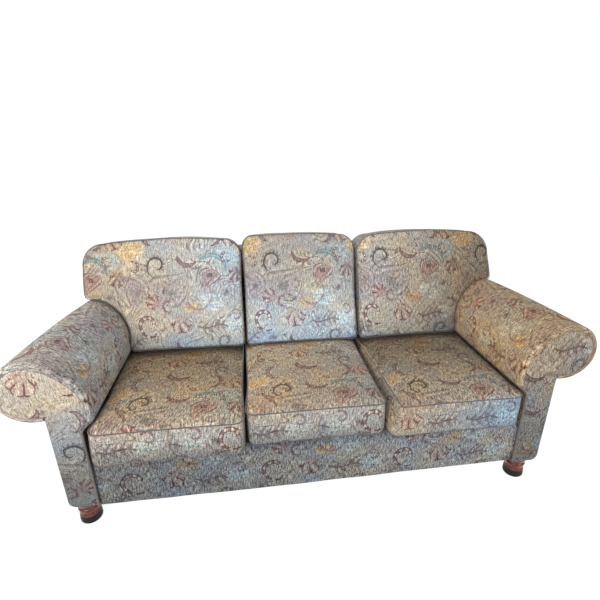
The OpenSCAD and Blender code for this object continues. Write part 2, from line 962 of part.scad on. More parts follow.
function arc(x, z, r, a0, a1, steps) =
    [for (k = [0:steps]) let (a = mix(a0, a1, k / steps)) [x + r * cos(a), z + r * sin(a)]];

// Points between two ends, bowed out to the left of the way by a rise
function bowed(p, q, rise, steps) =
    let (d = q - p, n = [-d[1], d[0]] / norm(d))
    [for (k = [1:steps - 1]) let (t = k / steps) mix(p, q, t) - n * rise * 4 * t * (1 - t)];

function mid_outline(depth) =
    let (
        x = back_mid_w / 2,
        r = back_cushion_r,
        b = back_bottom_r,
        z0 = back_cushion_z,
        z1 = back_seam_z(depth),
        low_right = arc(x - b, z0 + b, b, -90, 0, 3),
        top_right = arc(x - r, z1 - r, r, 0, 90, 4),
        top_left = arc(-x + r, z1 - r, r, 90, 180, 4),
        low_left = arc(-x + b, z0 + b, b, 180, 270, 3)
    )
    [for (p = concat(
        low_right, bowed([x, z0 + b], [x, z1 - r], -cushion_pull / 2, 5),
        top_right, bowed([x - r, z1], [-x + r, z1], back_top_bulge, 8),
        top_left, bowed([-x, z1 - r], [-x, z0 + b], -cushion_pull / 2, 5),
        low_left, bowed([-x + b, z0], [x - b, z0], 0, 8)
    )) p + [back_mid_shift, 0]];

// Outer cushion from its inner seam, with its ear over the arm
function ear_outline(inner, depth) =
    let (
        s = 1 - (back_cushion_t - depth) / run_at_flare,
        r = back_cushion_r,
        b = back_bottom_r,
        z0 = back_cushion_z,
        z1 = back_seam_z(depth),
        ear_x = face_x + ear_reach,
        ear_z = arm_z + arm_clear,
        side_x = face_x - arm_clear,
        flare = [for (k = [0:flare_steps - 1])
            let (p = flare_point(s, 0, 90 * k / flare_steps))
            [p[0] - arm_clear * cos(90 * k / flare_steps), p[1] + arm_clear * 0.7]]
    )
    concat(
        arc(side_x - b, z0 + b, b, -90, 0, 3),
        flare,
        [[roll_cx(s), ear_z]],
        arc(ear_x - ear_tip_r, ear_z + ear_tip_r, ear_tip_r, -70, 0, 3),
        bowed([ear_x, ear_z + ear_tip_r], [ear_x, z1 - ear_r], 2, 3),
        arc(ear_x - ear_r, z1 - ear_r, ear_r, 0, 90, 6),
        bowed([ear_x - ear_r, z1], [inner + r, z1], back_top_bulge, 9),
        arc(inner + r, z1 - r, r, 90, 180, 4),
        bowed([inner, z1 - r], [inner, z0 + b], -cushion_pull / 2, 5),
        arc(inner + b, z0 + b, b, 180, 270, 3),
        bowed([inner + b, z0], [side_x - b, z0], 0, 8)
    );

// Point of a back cushion at a distance behind its front seam
function on_back(p, depth) = [p[0], back_y(p[1]) - rest_gap - back_cushion_t + depth, p[1]];

module back_form(outlines, middle) {
    front = outlines[0];
    rings = concat(
        [for (t = fan) [for (p = front)
            let (q = mix(middle, p, t)) on_back(q, -back_crown * (1 - pow(t, crown_power)))]],
        [for (i = [0:len(outlines) - 1]) [for (p = outlines[i])
            on_back(p, back_cushion_t * i / (len(outlines) - 1))]]
    );
    ring_solid(rings, on_back(middle, -back_crown), on_back(middle, back_cushion_t));
}

crown_power = 3.2;
fill_in = 20;

// Filling of a back cushion, as a raked block cut to a front view
module fill_block(grow) {
    z0 = back_cushion_z;
    z1 = back_top_z + 20;
    near = fill_in - grow - back_cushion_t - rest_gap;
    far = grow - fill_in - rest_gap;
    intersection() {
        along_x(-roll_x - roll_r, roll_x + roll_r) polygon([
            [back_y(z0) + near, z0], [back_y(z0) + far, z0],
            [back_y(z1) + far, z1], [back_y(z1) + near, z1]
        ]);
        along_y(-sofa_d / 2, rear_y + 50) children();
    }
}

module mid_fill(grow) {
    i = fill_in - grow;
    fill_block(grow) translate([back_mid_shift - back_mid_w / 2 + i, back_cushion_z + i])
        square([back_mid_w - 2 * i, back_cushion_h - back_top_fall - 2 * i]);
}

module ear_fill(inner, grow) {
    i = fill_in - grow;
    x0 = inner + i;
    x1 = face_x - arm_clear - i;
    x2 = face_x + ear_reach - ear_r;
    z0 = back_cushion_z + i;
    z1 = back_top_z - back_top_fall - i;
    ear_z = arm_z + arm_clear + i;
    fill_block(grow) polygon([[x0, z0], [x1, z0], [x1, ear_z], [x2, ear_z], [x2, z1], [x0, z1]]);
}

depths = [0, 0.33, 0.67, 1];

module back_cushion_middle() {
    middle = [back_mid_shift, mix(back_cushion_z, back_top_z, 0.5)];
    color("tan") difference() {
        back_form([for (d = depths) mid_outline(d * back_cushion_t)], middle);
        mid_fill(rest_gap);
    }
}

module outer_back_cushion(inner) {
    middle = [mix(inner, face_x, 0.55), mix(arm_z, back_top_z, 0.25)];
    difference() {
        back_form([for (d = depths) ear_outline(inner, d * back_cushion_t)], middle);
        ear_fill(inner, rest_gap);
    }
}

module back_cushion_left() {
    color("tan") mirror([1, 0, 0]) outer_back_cushion(inner_left);
}

module back_cushion_right() {
    color("tan") outer_back_cushion(inner_right);
}

module back_fill_left() {
    color("ivory") mirror([1, 0, 0]) ear_fill(inner_left, 0);
}

module back_fill_middle() {
    color("ivory") mid_fill(0);
}

module back_fill_right() {
    color("ivory") ear_fill(inner_right, 0);
}

front_rail();
rear_rail();
spring_rail();
side_rail_left();
side_rail_right();
cross_rails();
corner_blocks();
arm_board_front_left();
arm_board_front_right();
arm_board_rear_left();
arm_board_rear_right();
arm_top_rail_left();
arm_top_rail_right();
arm_tack_rail_left();
arm_tack_rail_right();
back_post_left();
back_post_right();
back_uprights();
back_top_rail();
back_tack_rail();
seat_springs();
spring_clips();
spring_tie_wires();
back_webbing();
deck_pad();
deck_cover();
front_border();
arm_pad_left();
arm_pad_right();
arm_cover_left();
arm_cover_right();
arm_facing_left();
arm_facing_right();
outside_arm_left();
outside_arm_right();
back_pad();
back_cover();
outside_back();
dust_cover();
foot_front_left();
foot_front_right();
foot_rear_left();
foot_rear_right();
foot_bases();
hanger_bolts();
mounting_plates();
plate_screws();
seat_core_left();
seat_core_middle();
seat_core_right();
seat_cover_left();
seat_cover_middle();
seat_cover_right();
back_fill_left();
back_fill_middle();
back_fill_right();
back_cushion_left();
back_cushion_middle();
back_cushion_right();
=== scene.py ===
import json
import math

import bmesh
import bpy
import numpy as np
from bpy.props import FloatProperty, FloatVectorProperty, IntProperty, PointerProperty
from mathutils import Matrix, Vector, geometry, noise


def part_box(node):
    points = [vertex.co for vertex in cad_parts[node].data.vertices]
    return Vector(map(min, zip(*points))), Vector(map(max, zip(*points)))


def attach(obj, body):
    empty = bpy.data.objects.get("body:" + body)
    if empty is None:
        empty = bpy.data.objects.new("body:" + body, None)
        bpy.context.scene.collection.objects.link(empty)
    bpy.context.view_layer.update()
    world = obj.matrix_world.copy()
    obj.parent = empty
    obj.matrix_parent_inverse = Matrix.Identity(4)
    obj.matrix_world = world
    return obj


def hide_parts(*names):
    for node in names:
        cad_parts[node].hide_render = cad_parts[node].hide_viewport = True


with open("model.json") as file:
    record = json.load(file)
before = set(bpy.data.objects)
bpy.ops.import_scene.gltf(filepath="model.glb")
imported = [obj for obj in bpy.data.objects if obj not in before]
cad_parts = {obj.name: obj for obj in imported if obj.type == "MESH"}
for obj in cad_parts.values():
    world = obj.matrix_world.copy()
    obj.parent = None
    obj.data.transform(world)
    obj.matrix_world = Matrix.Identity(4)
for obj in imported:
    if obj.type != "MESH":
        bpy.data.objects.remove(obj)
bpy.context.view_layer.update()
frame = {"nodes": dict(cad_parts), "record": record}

bl_info = {
    "name": "Rolled Arm Sofa",
    "version": (1, 0, 0),
    "blender": (4, 5, 0),
    "location": "View3D > Sidebar > Sofa",
    "description": "Upholstery, feet and studio of a three-seat rolled arm sofa",
    "category": "Object",
}

SIDES = {"left": -1, "right": 1}
SEATS = ("left", "middle", "right")

# Places on the frame
DECK_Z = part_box("deck_cover")[1].z
BASE_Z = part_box("front_border")[0].z
BACK_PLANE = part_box("back_cover")[0].y
BACK_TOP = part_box("back_cover")[1].z
REAR_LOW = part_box("rear_rail")[1].y
REAR_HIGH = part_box("outside_back")[1].y
RAIL_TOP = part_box("rear_rail")[1].z
OUTER_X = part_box("outside_back")[1].x
ARM_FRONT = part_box("arm_cover_right")[0].y
ARM_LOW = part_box("arm_cover_right")[0].z
ARM_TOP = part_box("arm_cover_right")[1].z
FACE_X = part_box("arm_cover_right")[0].x
FACING_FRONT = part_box("arm_facing_right")[0].y
RECESS_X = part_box("front_border")[1].x
SEAT_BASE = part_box("seat_cover_middle")[0].z
BACK_CUSHION_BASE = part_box("back_cushion_middle")[0].z

# Places in the print where the cloth of a piece starts, in X and Y
SEAT_CLOTH = {"left": (0.800, 0.00), "middle": (0.803, 0.02), "right": (0.806, 0.04)}
SEAT_EDGE_CLOTH = {"left": (0.945, 0.18), "middle": (0.950, 0.19), "right": (0.825, 0.19)}
BACK_CLOTH = {"left": (0.800, 0.06), "middle": (0.804, 0.06), "right": (0.808, 0.06)}
FACING_CLOTH = {"left": (0.328, 0.01), "right": (0.483, 0.01)}
OUTSIDE_ARM_CLOTH = {"left": (-0.1, 0.3), "right": (1.9, 0.3)}
BORDER_CLOTH = (0.27, 0.48)

# How far the left side of a seat cushion is moved in X at its top, and in front at its bottom
SEAT_LEANS = {"left": (0.0, -0.014), "middle": (0.0, 0.0), "right": (0.036, 0.0)}

# Of each outer back cushion: rise of its top seam, its inner corner past the usual one, the lean
# of its outer edge, and how much smaller than usual its outer corner is
EAR_SHAPES = {"left": (0.007, 0.032, -0.001, 0.010), "right": (0.008, 0.050, 0.005, 0.0)}

# Painted shade in and near the crevices, and painted cool light low on the back cushions, as shares of
# the cloth's own
SHADE_BESIDE_SEAT = (0.18, 0.15, 0.13)
SHADE_UNDER_BACK = (0.35, 0.32, 0.30)
SHADE_BESIDE_BACK = (0.16, 0.13, 0.12)
COOL_LIGHT_LOW_ON_BACK = (0.80, 0.93, 1.08)
SHADE_OVER_SEAT = (0.24, 0.24, 0.26)
SHADE_LOW_ON_ARM = (0.45, 0.42, 0.40)
SHADOW_UNDER_SEAT = (0.55, 0.60, 0.68)

# Plain tones of the covers behind and beside the cushions
OUTSIDE_TONE = (0.92, 0.90, 0.86)
INSIDE_BACK_TONE = (0.92, 0.88, 0.82)

# Furthest that the cloth simulation moves a point, and its pressures
SWELL_CAP = 0.006
SEAT_PRESSURE = 3.0
BACK_PRESSURE = 3.5

FOOT_CORNER = 0.028         # rounding of an arm's front at its lower outer corner
RECESS_STEPS = 12           # steps of the curve out of the recess


def linear(code):
    """Scene colour of a screen colour written as six hex digits."""
    parts = [int(code[i:i + 2], 16) / 255 for i in (0, 2, 4)]
    return tuple(c / 12.92 if c <= 0.04045 else ((c + 0.055) / 1.055) ** 2.4 for c in parts)


def size_prop(name, text, value):
    return FloatProperty(name=name, description=text, default=value, unit="LENGTH", precision=4)


def colour_prop(name, text, code):
    return FloatVectorProperty(name=name, description=text, subtype="COLOR", size=3, min=0, max=1,
                               default=linear(code))


class SofaSizes(bpy.types.PropertyGroup):
    mesh_step: size_prop("Mesh step", "Distance between the points of a cushion", 0.012)
    seat_rim: size_prop("Seat boxing", "Height of a seat cushion's boxing", 0.1377)
    seat_crown: size_prop("Seat crown", "Rise of a seat cushion above its welts", 0.021)
    seat_corner: size_prop("Seat corner", "Corner radius of a seat cushion in plan", 0.035)
    seat_bulge: size_prop("Seat bulge", "Fullness of a seat cushion's boxing", 0.005)
    back_depth: size_prop("Back boxing", "Thickness of a back cushion's boxing", 0.170)
    back_height: size_prop("Back height", "Height of a back cushion to its top seam", 0.482)
    back_crown: size_prop("Back crown", "Fullness of a back cushion's front", 0.035)
    top_bulge: size_prop("Top bulge", "Fullness of a back cushion's top", 0.014)
    top_fall: size_prop("Top fall", "Fall of a back cushion's top towards its rear seam", 0.028)
    ear_reach: size_prop("Ear reach", "Reach of an ear past the inside arm", 0.190)
    ear_radius: size_prop("Ear radius", "Corner radius at the top of an ear", 0.110)
    back_corner: size_prop("Back corner", "Corner radius of a back cushion", 0.050)
    roll_out: size_prop("Roll out", "Middle of the arm roll outside the inside arm", 0.185)
    roll_radius: size_prop("Roll radius", "Radius of the arm roll at the front", 0.112)
    roll_taper: size_prop("Roll taper", "How much smaller the roll is at the back", 0.030)
    roll_lean: size_prop("Roll lean", "How far the roll leans in at the back", 0.055)
    roll_more: size_prop("Roll fullness", "Extra reach of the stuffed roll at the front", 0.010)
    flare: size_prop("Flare", "Height of the flare below the arm top", 0.181)
    recess: size_prop("Recess", "Depth of the recess beside the seat cushions", 0.048)
    facing_inset: size_prop("Facing inset", "Inset of a facing from the roll", 0.018)
    welt: size_prop("Welt", "Radius of the welts", 0.0024)
    back_welt: size_prop("Back welt", "Radius of the welts of a back cushion", 0.0017)
    facing_welt: size_prop("Facing welt", "Radius of the welt round a facing", 0.0045)
    back_rake: FloatProperty(name="Back rake", description="Rake of the inside back",
                             default=math.radians(18.4), subtype="ANGLE")
    repeat_width: size_prop("Repeat width", "Width of one repeat of the print", 0.5365)
    repeat_height: size_prop("Repeat height", "Height of one repeat of the print", 0.56)
    grain: IntProperty(name="Grain", description="Seed of the small unevenness", default=7)


class SofaColours(bpy.types.PropertyGroup):
    sand: colour_prop("Sand", "Ground of the cloth", "b8ad98")
    lilac: colour_prop("Lilac", "Cool part of the ground", "a0a5a9")
    gold: colour_prop("Gold", "Golden patches", "cbab6c")
    sky: colour_prop("Sky", "Pale blue brush strokes", "a9c0c4")
    teal: colour_prop("Teal", "Teal arcs", "5f7f86")
    wine: colour_prop("Wine", "Burgundy scrolls and flowers", "673a44")
    rose: colour_prop("Rose", "Rose flowers", "a27672")
    rust: colour_prop("Rust", "Rusty crescents", "764d47")
    ink: colour_prop("Ink", "Dark lines and leaves", "484345")
    leaf: colour_prop("Leaf", "Grey green leaves", "5f6159")
    mauve: colour_prop("Mauve", "Large pale figures", "978a90")
    cream: colour_prop("Cream", "Beads and light threads", "e6dac6")
    wood: colour_prop("Foot wood", "Lacquered wood of the feet", "6e3220")
    base: colour_prop("Foot base", "Dark base of the feet", "0c0908")


def sizes():
    return bpy.context.scene.sofa_sizes


def colours():
    return bpy.context.scene.sofa_colours


# Node trees

class Tree:
    """Places and joins the nodes of one tree. Values may be numbers, tuples or sockets."""

    def __init__(self, tree):
        self.tree = tree

    def node(self, kind, **settings):
        made = self.tree.nodes.new(kind)
        for name, value in settings.items():
            setattr(made, name, value)
        return made

    def put(self, socket, value):
        if isinstance(value, bpy.types.NodeSocket):
            self.tree.links.new(value, socket)
        elif value is not None:
            if socket.type == "RGBA" and len(value) == 3:
                value = (*value, 1.0)
            socket.default_value = value

    def math(self, operation, *values, clamp=False):
        made = self.node("ShaderNodeMath", operation=operation, use_clamp=clamp)
        for socket, value in zip(made.inputs, values):
            self.put(socket, value)
        return made.outputs[0]

    def times(self, a, b):
        return self.math("MULTIPLY", a, b)

    def less(self, a, b):
        return self.math("SUBTRACT", a, b)

    def larger(self, a, b):
        return self.math("MAXIMUM", a, b)

    def size(self, value):
        return self.math("ABSOLUTE", value)

    def distance(self, x, y):
        return self.math("SQRT", self.math("MULTIPLY_ADD", x, x, self.times(y, y)))

    def vector(self, operation, *values):
        made = self.node("ShaderNodeVectorMath", operation=operation)
        for socket, value in zip(made.inputs, values):
            self.put(socket, value)
        return made.outputs["Vector"]

    def object_place(self):
        return self.node("ShaderNodeTexCoord").outputs["Object"]

    def split(self, vector):
        made = self.node("ShaderNodeSeparateXYZ")
        self.put(made.inputs[0], vector)
        return made.outputs[0], made.outputs[1], made.outputs[2]

    def join(self, x, y, z=0.0):
        made = self.node("ShaderNodeCombineXYZ")
        for socket, value in zip(made.inputs, (x, y, z)):
            self.put(socket, value)
        return made.outputs[0]

    def mix(self, share, a, b, blend="MIX"):
        made = self.node("ShaderNodeMix", data_type="RGBA", blend_type=blend)
        for socket, value in ((made.inputs[0], share), (made.inputs[6], a), (made.inputs[7], b)):
            self.put(socket, value)
        return made.outputs[2]

    def step(self, value, low, high):
        """0 below low, 1 above high, smooth between them; low may be the larger one."""
        made = self.node("ShaderNodeMapRange", interpolation_type="SMOOTHSTEP")
        for socket, number in zip(made.inputs, (value, low, high, 0.0, 1.0)):
            self.put(socket, number)
        return made.outputs[0]

    def span(self, value, low, high, start, end):
        made = self.node("ShaderNodeMapRange")
        for socket, number in zip(made.inputs, (value, low, high, start, end)):
            self.put(socket, number)
        return made.outputs[0]

    def noise(self, vector, scale, detail=2.0, rough=0.5, distortion=0.0, colour=False):
        made = self.node("ShaderNodeTexNoise")
        self.put(made.inputs["Vector"], vector)
        made.inputs["Scale"].default_value = scale
        made.inputs["Detail"].default_value = detail
        made.inputs["Roughness"].default_value = rough
        made.inputs["Distortion"].default_value = distortion
        return made.outputs[1 if colour else 0]

    def turn(self, vector, angle):
        made = self.node("ShaderNodeVectorRotate", rotation_type="Z_AXIS")
        self.put(made.inputs["Vector"], vector)
        self.put(made.inputs["Angle"], angle)
        return made.outputs[0]


def group(name, inputs, outputs, build):
    """Shader node group, built once. inputs are (name, kind, default), outputs (name, kind)."""
    if name in bpy.data.node_groups:
        return bpy.data.node_groups[name]
    tree = bpy.data.node_groups.new(name, "ShaderNodeTree")
    for label, kind, value in inputs:
        socket = tree.interface.new_socket(label, in_out="INPUT", socket_type="NodeSocket" + kind)
        if value is not None:
            socket.default_value = (*value, 1.0) if kind == "Color" else value
    for label, kind in outputs:
        tree.interface.new_socket(label, in_out="OUTPUT", socket_type="NodeSocket" + kind)
    source = tree.nodes.new("NodeGroupInput")
    results = build(Tree(tree), source.outputs)
    sink = tree.nodes.new("NodeGroupOutput")
    for label, _ in outputs:
        tree.links.new(results[label], sink.inputs[label])
    return tree


def use_group(t, tree, **values):
    made = t.node("ShaderNodeGroup")
    made.node_tree = tree
    for name, value in values.items():
        t.put(made.inputs[name.replace("_", " ")], value)
    return made.outputs


def material(name, build, **constants):
    """Material whose build function returns the linked inputs of its shader by socket name."""
    if name in bpy.data.materials:
        return bpy.data.materials[name]
    made = bpy.data.materials.new(name)
    made.use_nodes = True
    t = Tree(made.node_tree)
    shader = made.node_tree.nodes["Principled BSDF"]
    for label, value in constants.items():
        shader.inputs[label.replace("_", " ")].default_value = value
    for label, value in build(t).items():
        if label == "Height":
            bump = t.node("ShaderNodeBump")
            height, strength, distance = value
            t.put(bump.inputs["Height"], height)
            bump.inputs["Strength"].default_value = strength
            bump.inputs["Distance"].default_value = distance
            t.put(shader.inputs["Normal"], bump.outputs[0])
        else:
            t.put(shader.inputs[label], value)
    return made


# The printed chenille

def half(a, b):
    """Colour midway between two."""
    return tuple(0.5 * p + 0.5 * q for p, q in zip(a, b))


def figures():
    """Figures of one repeat of the print, the lowest first: kind, middle in X and Y, turn in
    degrees, half its size, fill, line and strength. A coil also has the reach and the width of
    its stroke, and how strong its beads and its ticks are."""
    c = colours()
    blush = half(c.rose, c.sand)
    plum = half(c.wine, c.ink)
    dusk = half(c.rust, c.mauve)
    haze = half(c.sky, c.teal)
    return [
        ("patch", 0.04, 0.46, 20, 0.070, c.gold, c.cream, 0.64),
        ("patch", 0.47, 0.42, -15, 0.070, c.sky, c.lilac, 0.68),
        ("patch", 0.39, 0.22, 5, 0.070, c.sky, c.cream, 0.68),
        ("patch", 0.30, 0.20, 0, 0.050, c.gold, blush, 0.68),
        ("patch", 0.49, 0.12, 10, 0.062, c.sky, c.cream, 0.68),
        ("patch", 0.22, 0.52, -30, 0.060, c.mauve, c.sand, 0.64),
        ("drop", 0.225, 0.300, 28, 0.100, c.mauve, c.ink, 0.50),
        ("drop", 0.040, 0.300, 120, 0.075, c.mauve, dusk, 0.70),
        ("drop", 0.470, 0.235, -70, 0.060, c.lilac, c.leaf, 0.65),
        ("drop", 0.375, 0.320, -125, 0.056, c.rose, plum, 0.80),
        ("shell", 0.245, 0.130, 185, 0.044, blush, c.wine, 0.90),
        ("shell", 0.125, 0.235, 50, 0.034, c.rose, c.wine, 0.85),
        ("shell", 0.490, 0.505, 205, 0.042, blush, c.wine, 0.85),
        ("shell", 0.505, 0.335, 150, 0.034, dusk, plum, 0.90),
        ("spray", 0.390, 0.110, -8, 0.070, dusk, c.ink, 0.75),
        ("spray", 0.345, 0.400, 160, 0.048, c.cream, c.leaf, 0.75),
        ("spray", 0.030, 0.040, 25, 0.064, dusk, c.ink, 0.70),
        ("coil", 0.285, 0.440, 204, 0.066, dusk, c.wine, 0.85, 0.36, 0.56, 0.0, 0.4),
        ("coil", 0.150, 0.390, 150, 0.058, c.leaf, c.ink, 0.95, 1.05, 0.32, 0.0, 0.6),
        ("coil", 0.405, 0.355, 33, 0.088, haze, c.teal, 0.80, 0.42, 0.44, 0.0, 0.3),
        ("coil", 0.100, 0.130, 195, 0.066, dusk, plum, 0.95, 1.08, 0.56, 1.0, 0.0),
        ("coil", 0.320, 0.245, 300, 0.085, c.mauve, dusk, 0.70, 0.70, 0.20, 0.0, 0.5),
        ("coil", 0.500, 0.150, 30, 0.032, c.mauve, c.wine, 0.85, 0.90, 0.50, 0.0, 0.6),
        ("coil", 0.300, 0.530, 80, 0.030, dusk, c.ink, 0.95, 0.80, 0.80, 1.0, 0.0),
        ("coil", 0.465, 0.420, 200, 0.030, dusk, c.wine, 0.95, 0.80, 0.80, 1.0, 0.0),
        ("coil", 0.045, 0.385, 10, 0.032, dusk, plum, 0.90, 0.90, 0.70, 1.0, 0.0),
        ("coil", 0.445, 0.035, 130, 0.038, c.mauve, c.ink, 0.95, 1.00, 0.50, 0.0, 0.6),
        ("coil", 0.265, 0.040, 200, 0.066, dusk, plum, 0.90, 0.38, 0.62, 0.0, 0.4),
        ("coil", 0.140, 0.535, 140, 0.066, c.mauve, plum, 0.85, 0.40, 0.56, 0.0, 0.5),
        ("coil", 0.190, 0.215, 200, 0.034, c.rose, c.wine, 0.85, 0.80, 0.50, 0.0, 0.5),
        ("coil", 0.395, 0.505, 320, 0.060, dusk, plum, 0.85, 0.45, 0.50, 0.0, 0.5),
    ]


def build_coil(t, given):
    """Scroll, hook or crescent: a stroke along a spiral, thickest in its middle."""
    coils, outer_end, bead_count, tick_count = 1.45, 1.32, 8.0, 95.0
    x, y, _ = t.split(given["Place"])
    r = t.distance(x, y)
    angle = t.math("DIVIDE", t.math("ARCTAN2", y, x), math.tau)
    phase = t.math("MULTIPLY_ADD", r, coils, t.times(angle, -1.0))
    whole = t.math("ROUND", phase)
    along = t.math("ADD", angle, whole)
    signed = t.math("DIVIDE", t.less(phase, whole), coils)
    off = t.size(signed)
    start = t.less(outer_end, given["Reach"])
    way = t.math("DIVIDE", t.less(along, start), given["Reach"], clamp=True)
    swell = t.math("POWER", t.math("SINE", t.times(way, math.pi)), 0.6)
    thick = t.times(swell, t.times(given["Width"], 0.26))
    edge = t.less(thick, off)
    cover = t.step(edge, -0.02, 0.02)
    outline = t.step(edge, 0.085, 0.045)
    beat = t.less(t.math("FRACT", t.times(along, bead_count)), 0.5)
    across = t.times(t.times(beat, r), math.tau / bead_count)
    beads = t.times(t.step(t.distance(across, off), 0.12, 0.08), given["Beads"])
    comb = t.step(t.math("SINE", t.times(along, tick_count)), -0.2, 0.4)
    ticks = t.times(t.times(comb, t.step(signed, -0.04, 0.04)), given["Ticks"])
    thick_part = t.step(swell, 0.3, 0.6)
    hairs = t.times(ticks, t.times(t.step(signed, 0.28, 0.20), thick_part))
    band = t.times(t.step(edge, -0.15, -0.11), t.step(edge, -0.03, -0.06))
    inner = t.times(t.step(signed, 0.02, -0.02), thick_part)
    shine = t.times(t.times(band, inner), 0.6)
    return {"Cover": t.larger(t.larger(cover, shine), hairs), "Line": t.larger(outline, ticks),
            "Light": t.larger(t.times(beads, 0.75), shine)}


def build_drop(t, given):
    """Paisley: a bent teardrop with a rim, a garland and a smaller drop inside."""
    x, y, _ = t.split(given["Place"])
    square = t.times(x, x)
    bent = t.math("MULTIPLY_ADD", square, -0.42, t.math("ADD", y, 0.12))
    body = t.math("SQRT", t.math("SUBTRACT", 1.0, square, clamp=True))
    taper = t.math("POWER", t.math("MULTIPLY_ADD", x, -0.5, 0.5, clamp=True), 0.75)
    wide = t.larger(t.times(t.times(body, taper), 1.15), 0.001)
    side = t.math("DIVIDE", t.size(bent), wide)
    inside = t.step(side, 1.02, 0.96)
    rim = t.step(side, 0.84, 0.92)
    lobes = t.times(t.math("SINE", t.times(x, 24.0)), 0.09)
    waved = t.less(t.math("ADD", side, lobes), 0.50)
    garland = t.step(t.size(waved), 0.09, 0.05)
    past_seed = t.size(t.math("ADD", x, 0.38))
    seed = t.step(t.math("MULTIPLY_ADD", past_seed, 1.3, side), 0.40, 0.32)
    line = t.larger(rim, t.larger(t.times(garland, 0.7), seed))
    light = t.times(t.step(side, 0.62, 0.68), t.step(side, 0.82, 0.76))
    return {"Cover": t.times(inside, t.math("MULTIPLY_ADD", line, 0.35, 0.65)),
            "Line": line, "Light": t.times(light, 0.5)}


def build_shell(t, given):
    """Round flower of petals folded like a shell, with dark folds and hooked ends."""
    x, y, _ = t.split(given["Place"])
    low = t.math("ADD", y, 0.75)
    r = t.distance(x, low)
    a = t.math("ARCTAN2", x, low)
    bend = t.math("MULTIPLY_ADD", r, 0.8, t.times(a, 4.6))
    petal = t.size(t.math("COSINE", bend))
    body = t.distance(x, y)
    edge = t.less(t.math("MULTIPLY_ADD", petal, 0.16, 0.92), body)
    cover = t.step(edge, -0.03, 0.03)
    outline = t.times(t.step(edge, 0.15, 0.08), t.step(y, -0.6, -0.2))
    folds = t.times(t.step(petal, 0.42, 0.22), t.step(r, 0.45, 0.80))
    line = t.larger(outline, folds)
    light = t.times(t.step(petal, 0.88, 0.98), t.step(r, 0.6, 0.9))
    return {"Cover": t.times(cover, t.math("MULTIPLY_ADD", line, 0.35, 0.65)),
            "Line": line, "Light": t.times(light, 0.6)}


def build_spray(t, given):
    """Leaf: curved leaflets on both sides of a waved stem."""
    leaflets, half_width, slimness = 2.5, 0.56, 0.66
    x, y, _ = t.split(given["Place"])
    wave = t.math("MULTIPLY_ADD", t.math("SINE", t.times(x, 3.0)), -0.16, y)
    off = t.size(wave)
    bend = t.times(off, t.math("MULTIPLY_ADD", off, 2.0, 0.6))
    way = t.math("MULTIPLY_ADD", x, leaflets, t.times(bend, -1.0))
    barb = t.size(t.less(t.math("FRACT", way), 0.5))
    body = t.math("SQRT", t.math("SUBTRACT", 1.0, t.times(x, x), clamp=True))
    room = t.less(t.times(body, half_width), off)
    inside = t.less(t.times(room, slimness), barb)
    leaf = t.step(inside, -0.08, 0.0)
    stem = t.step(off, 0.07, 0.03)
    ends = t.step(t.size(x), 1.0, 0.94)
    cover = t.times(t.larger(leaf, stem), ends)
    rim = t.step(inside, 0.06, -0.04)
    return {"Cover": cover, "Line": t.larger(rim, stem), "Light": 0.0}


def build_patch(t, given):
    """Soft patch of brush strokes."""
    x, y, _ = t.split(given["Place"])
    squares = t.math("MULTIPLY_ADD", x, x, t.times(t.times(y, y), 2.4))
    flat = t.math("SQRT", squares)
    strokes = t.noise(t.vector("MULTIPLY", given["Place"], (2.2, 8.0, 1.0)), 1.0, 2.0, 0.6)
    cover = t.step(t.math("MULTIPLY_ADD", strokes, 0.9, t.times(flat, -1.0)), -0.55, -0.25)
    return {"Cover": cover, "Line": t.step(strokes, 0.45, 0.62), "Light": 0.0}


def inked(build):
    """Group builder that lays one figure over the colour under it."""
    def lay(t, given):
        shape = build(t, given)
        ink = t.mix(shape["Line"], given["Fill"], given["Ink"])
        ink = t.mix(shape["Light"], ink, tuple(colours().cream))
        cover = t.times(shape["Cover"], given["Broken"])
        cover = t.times(cover, given["Strength"])
        return {"Colour": t.mix(cover, given["Under"], ink)}
    return lay


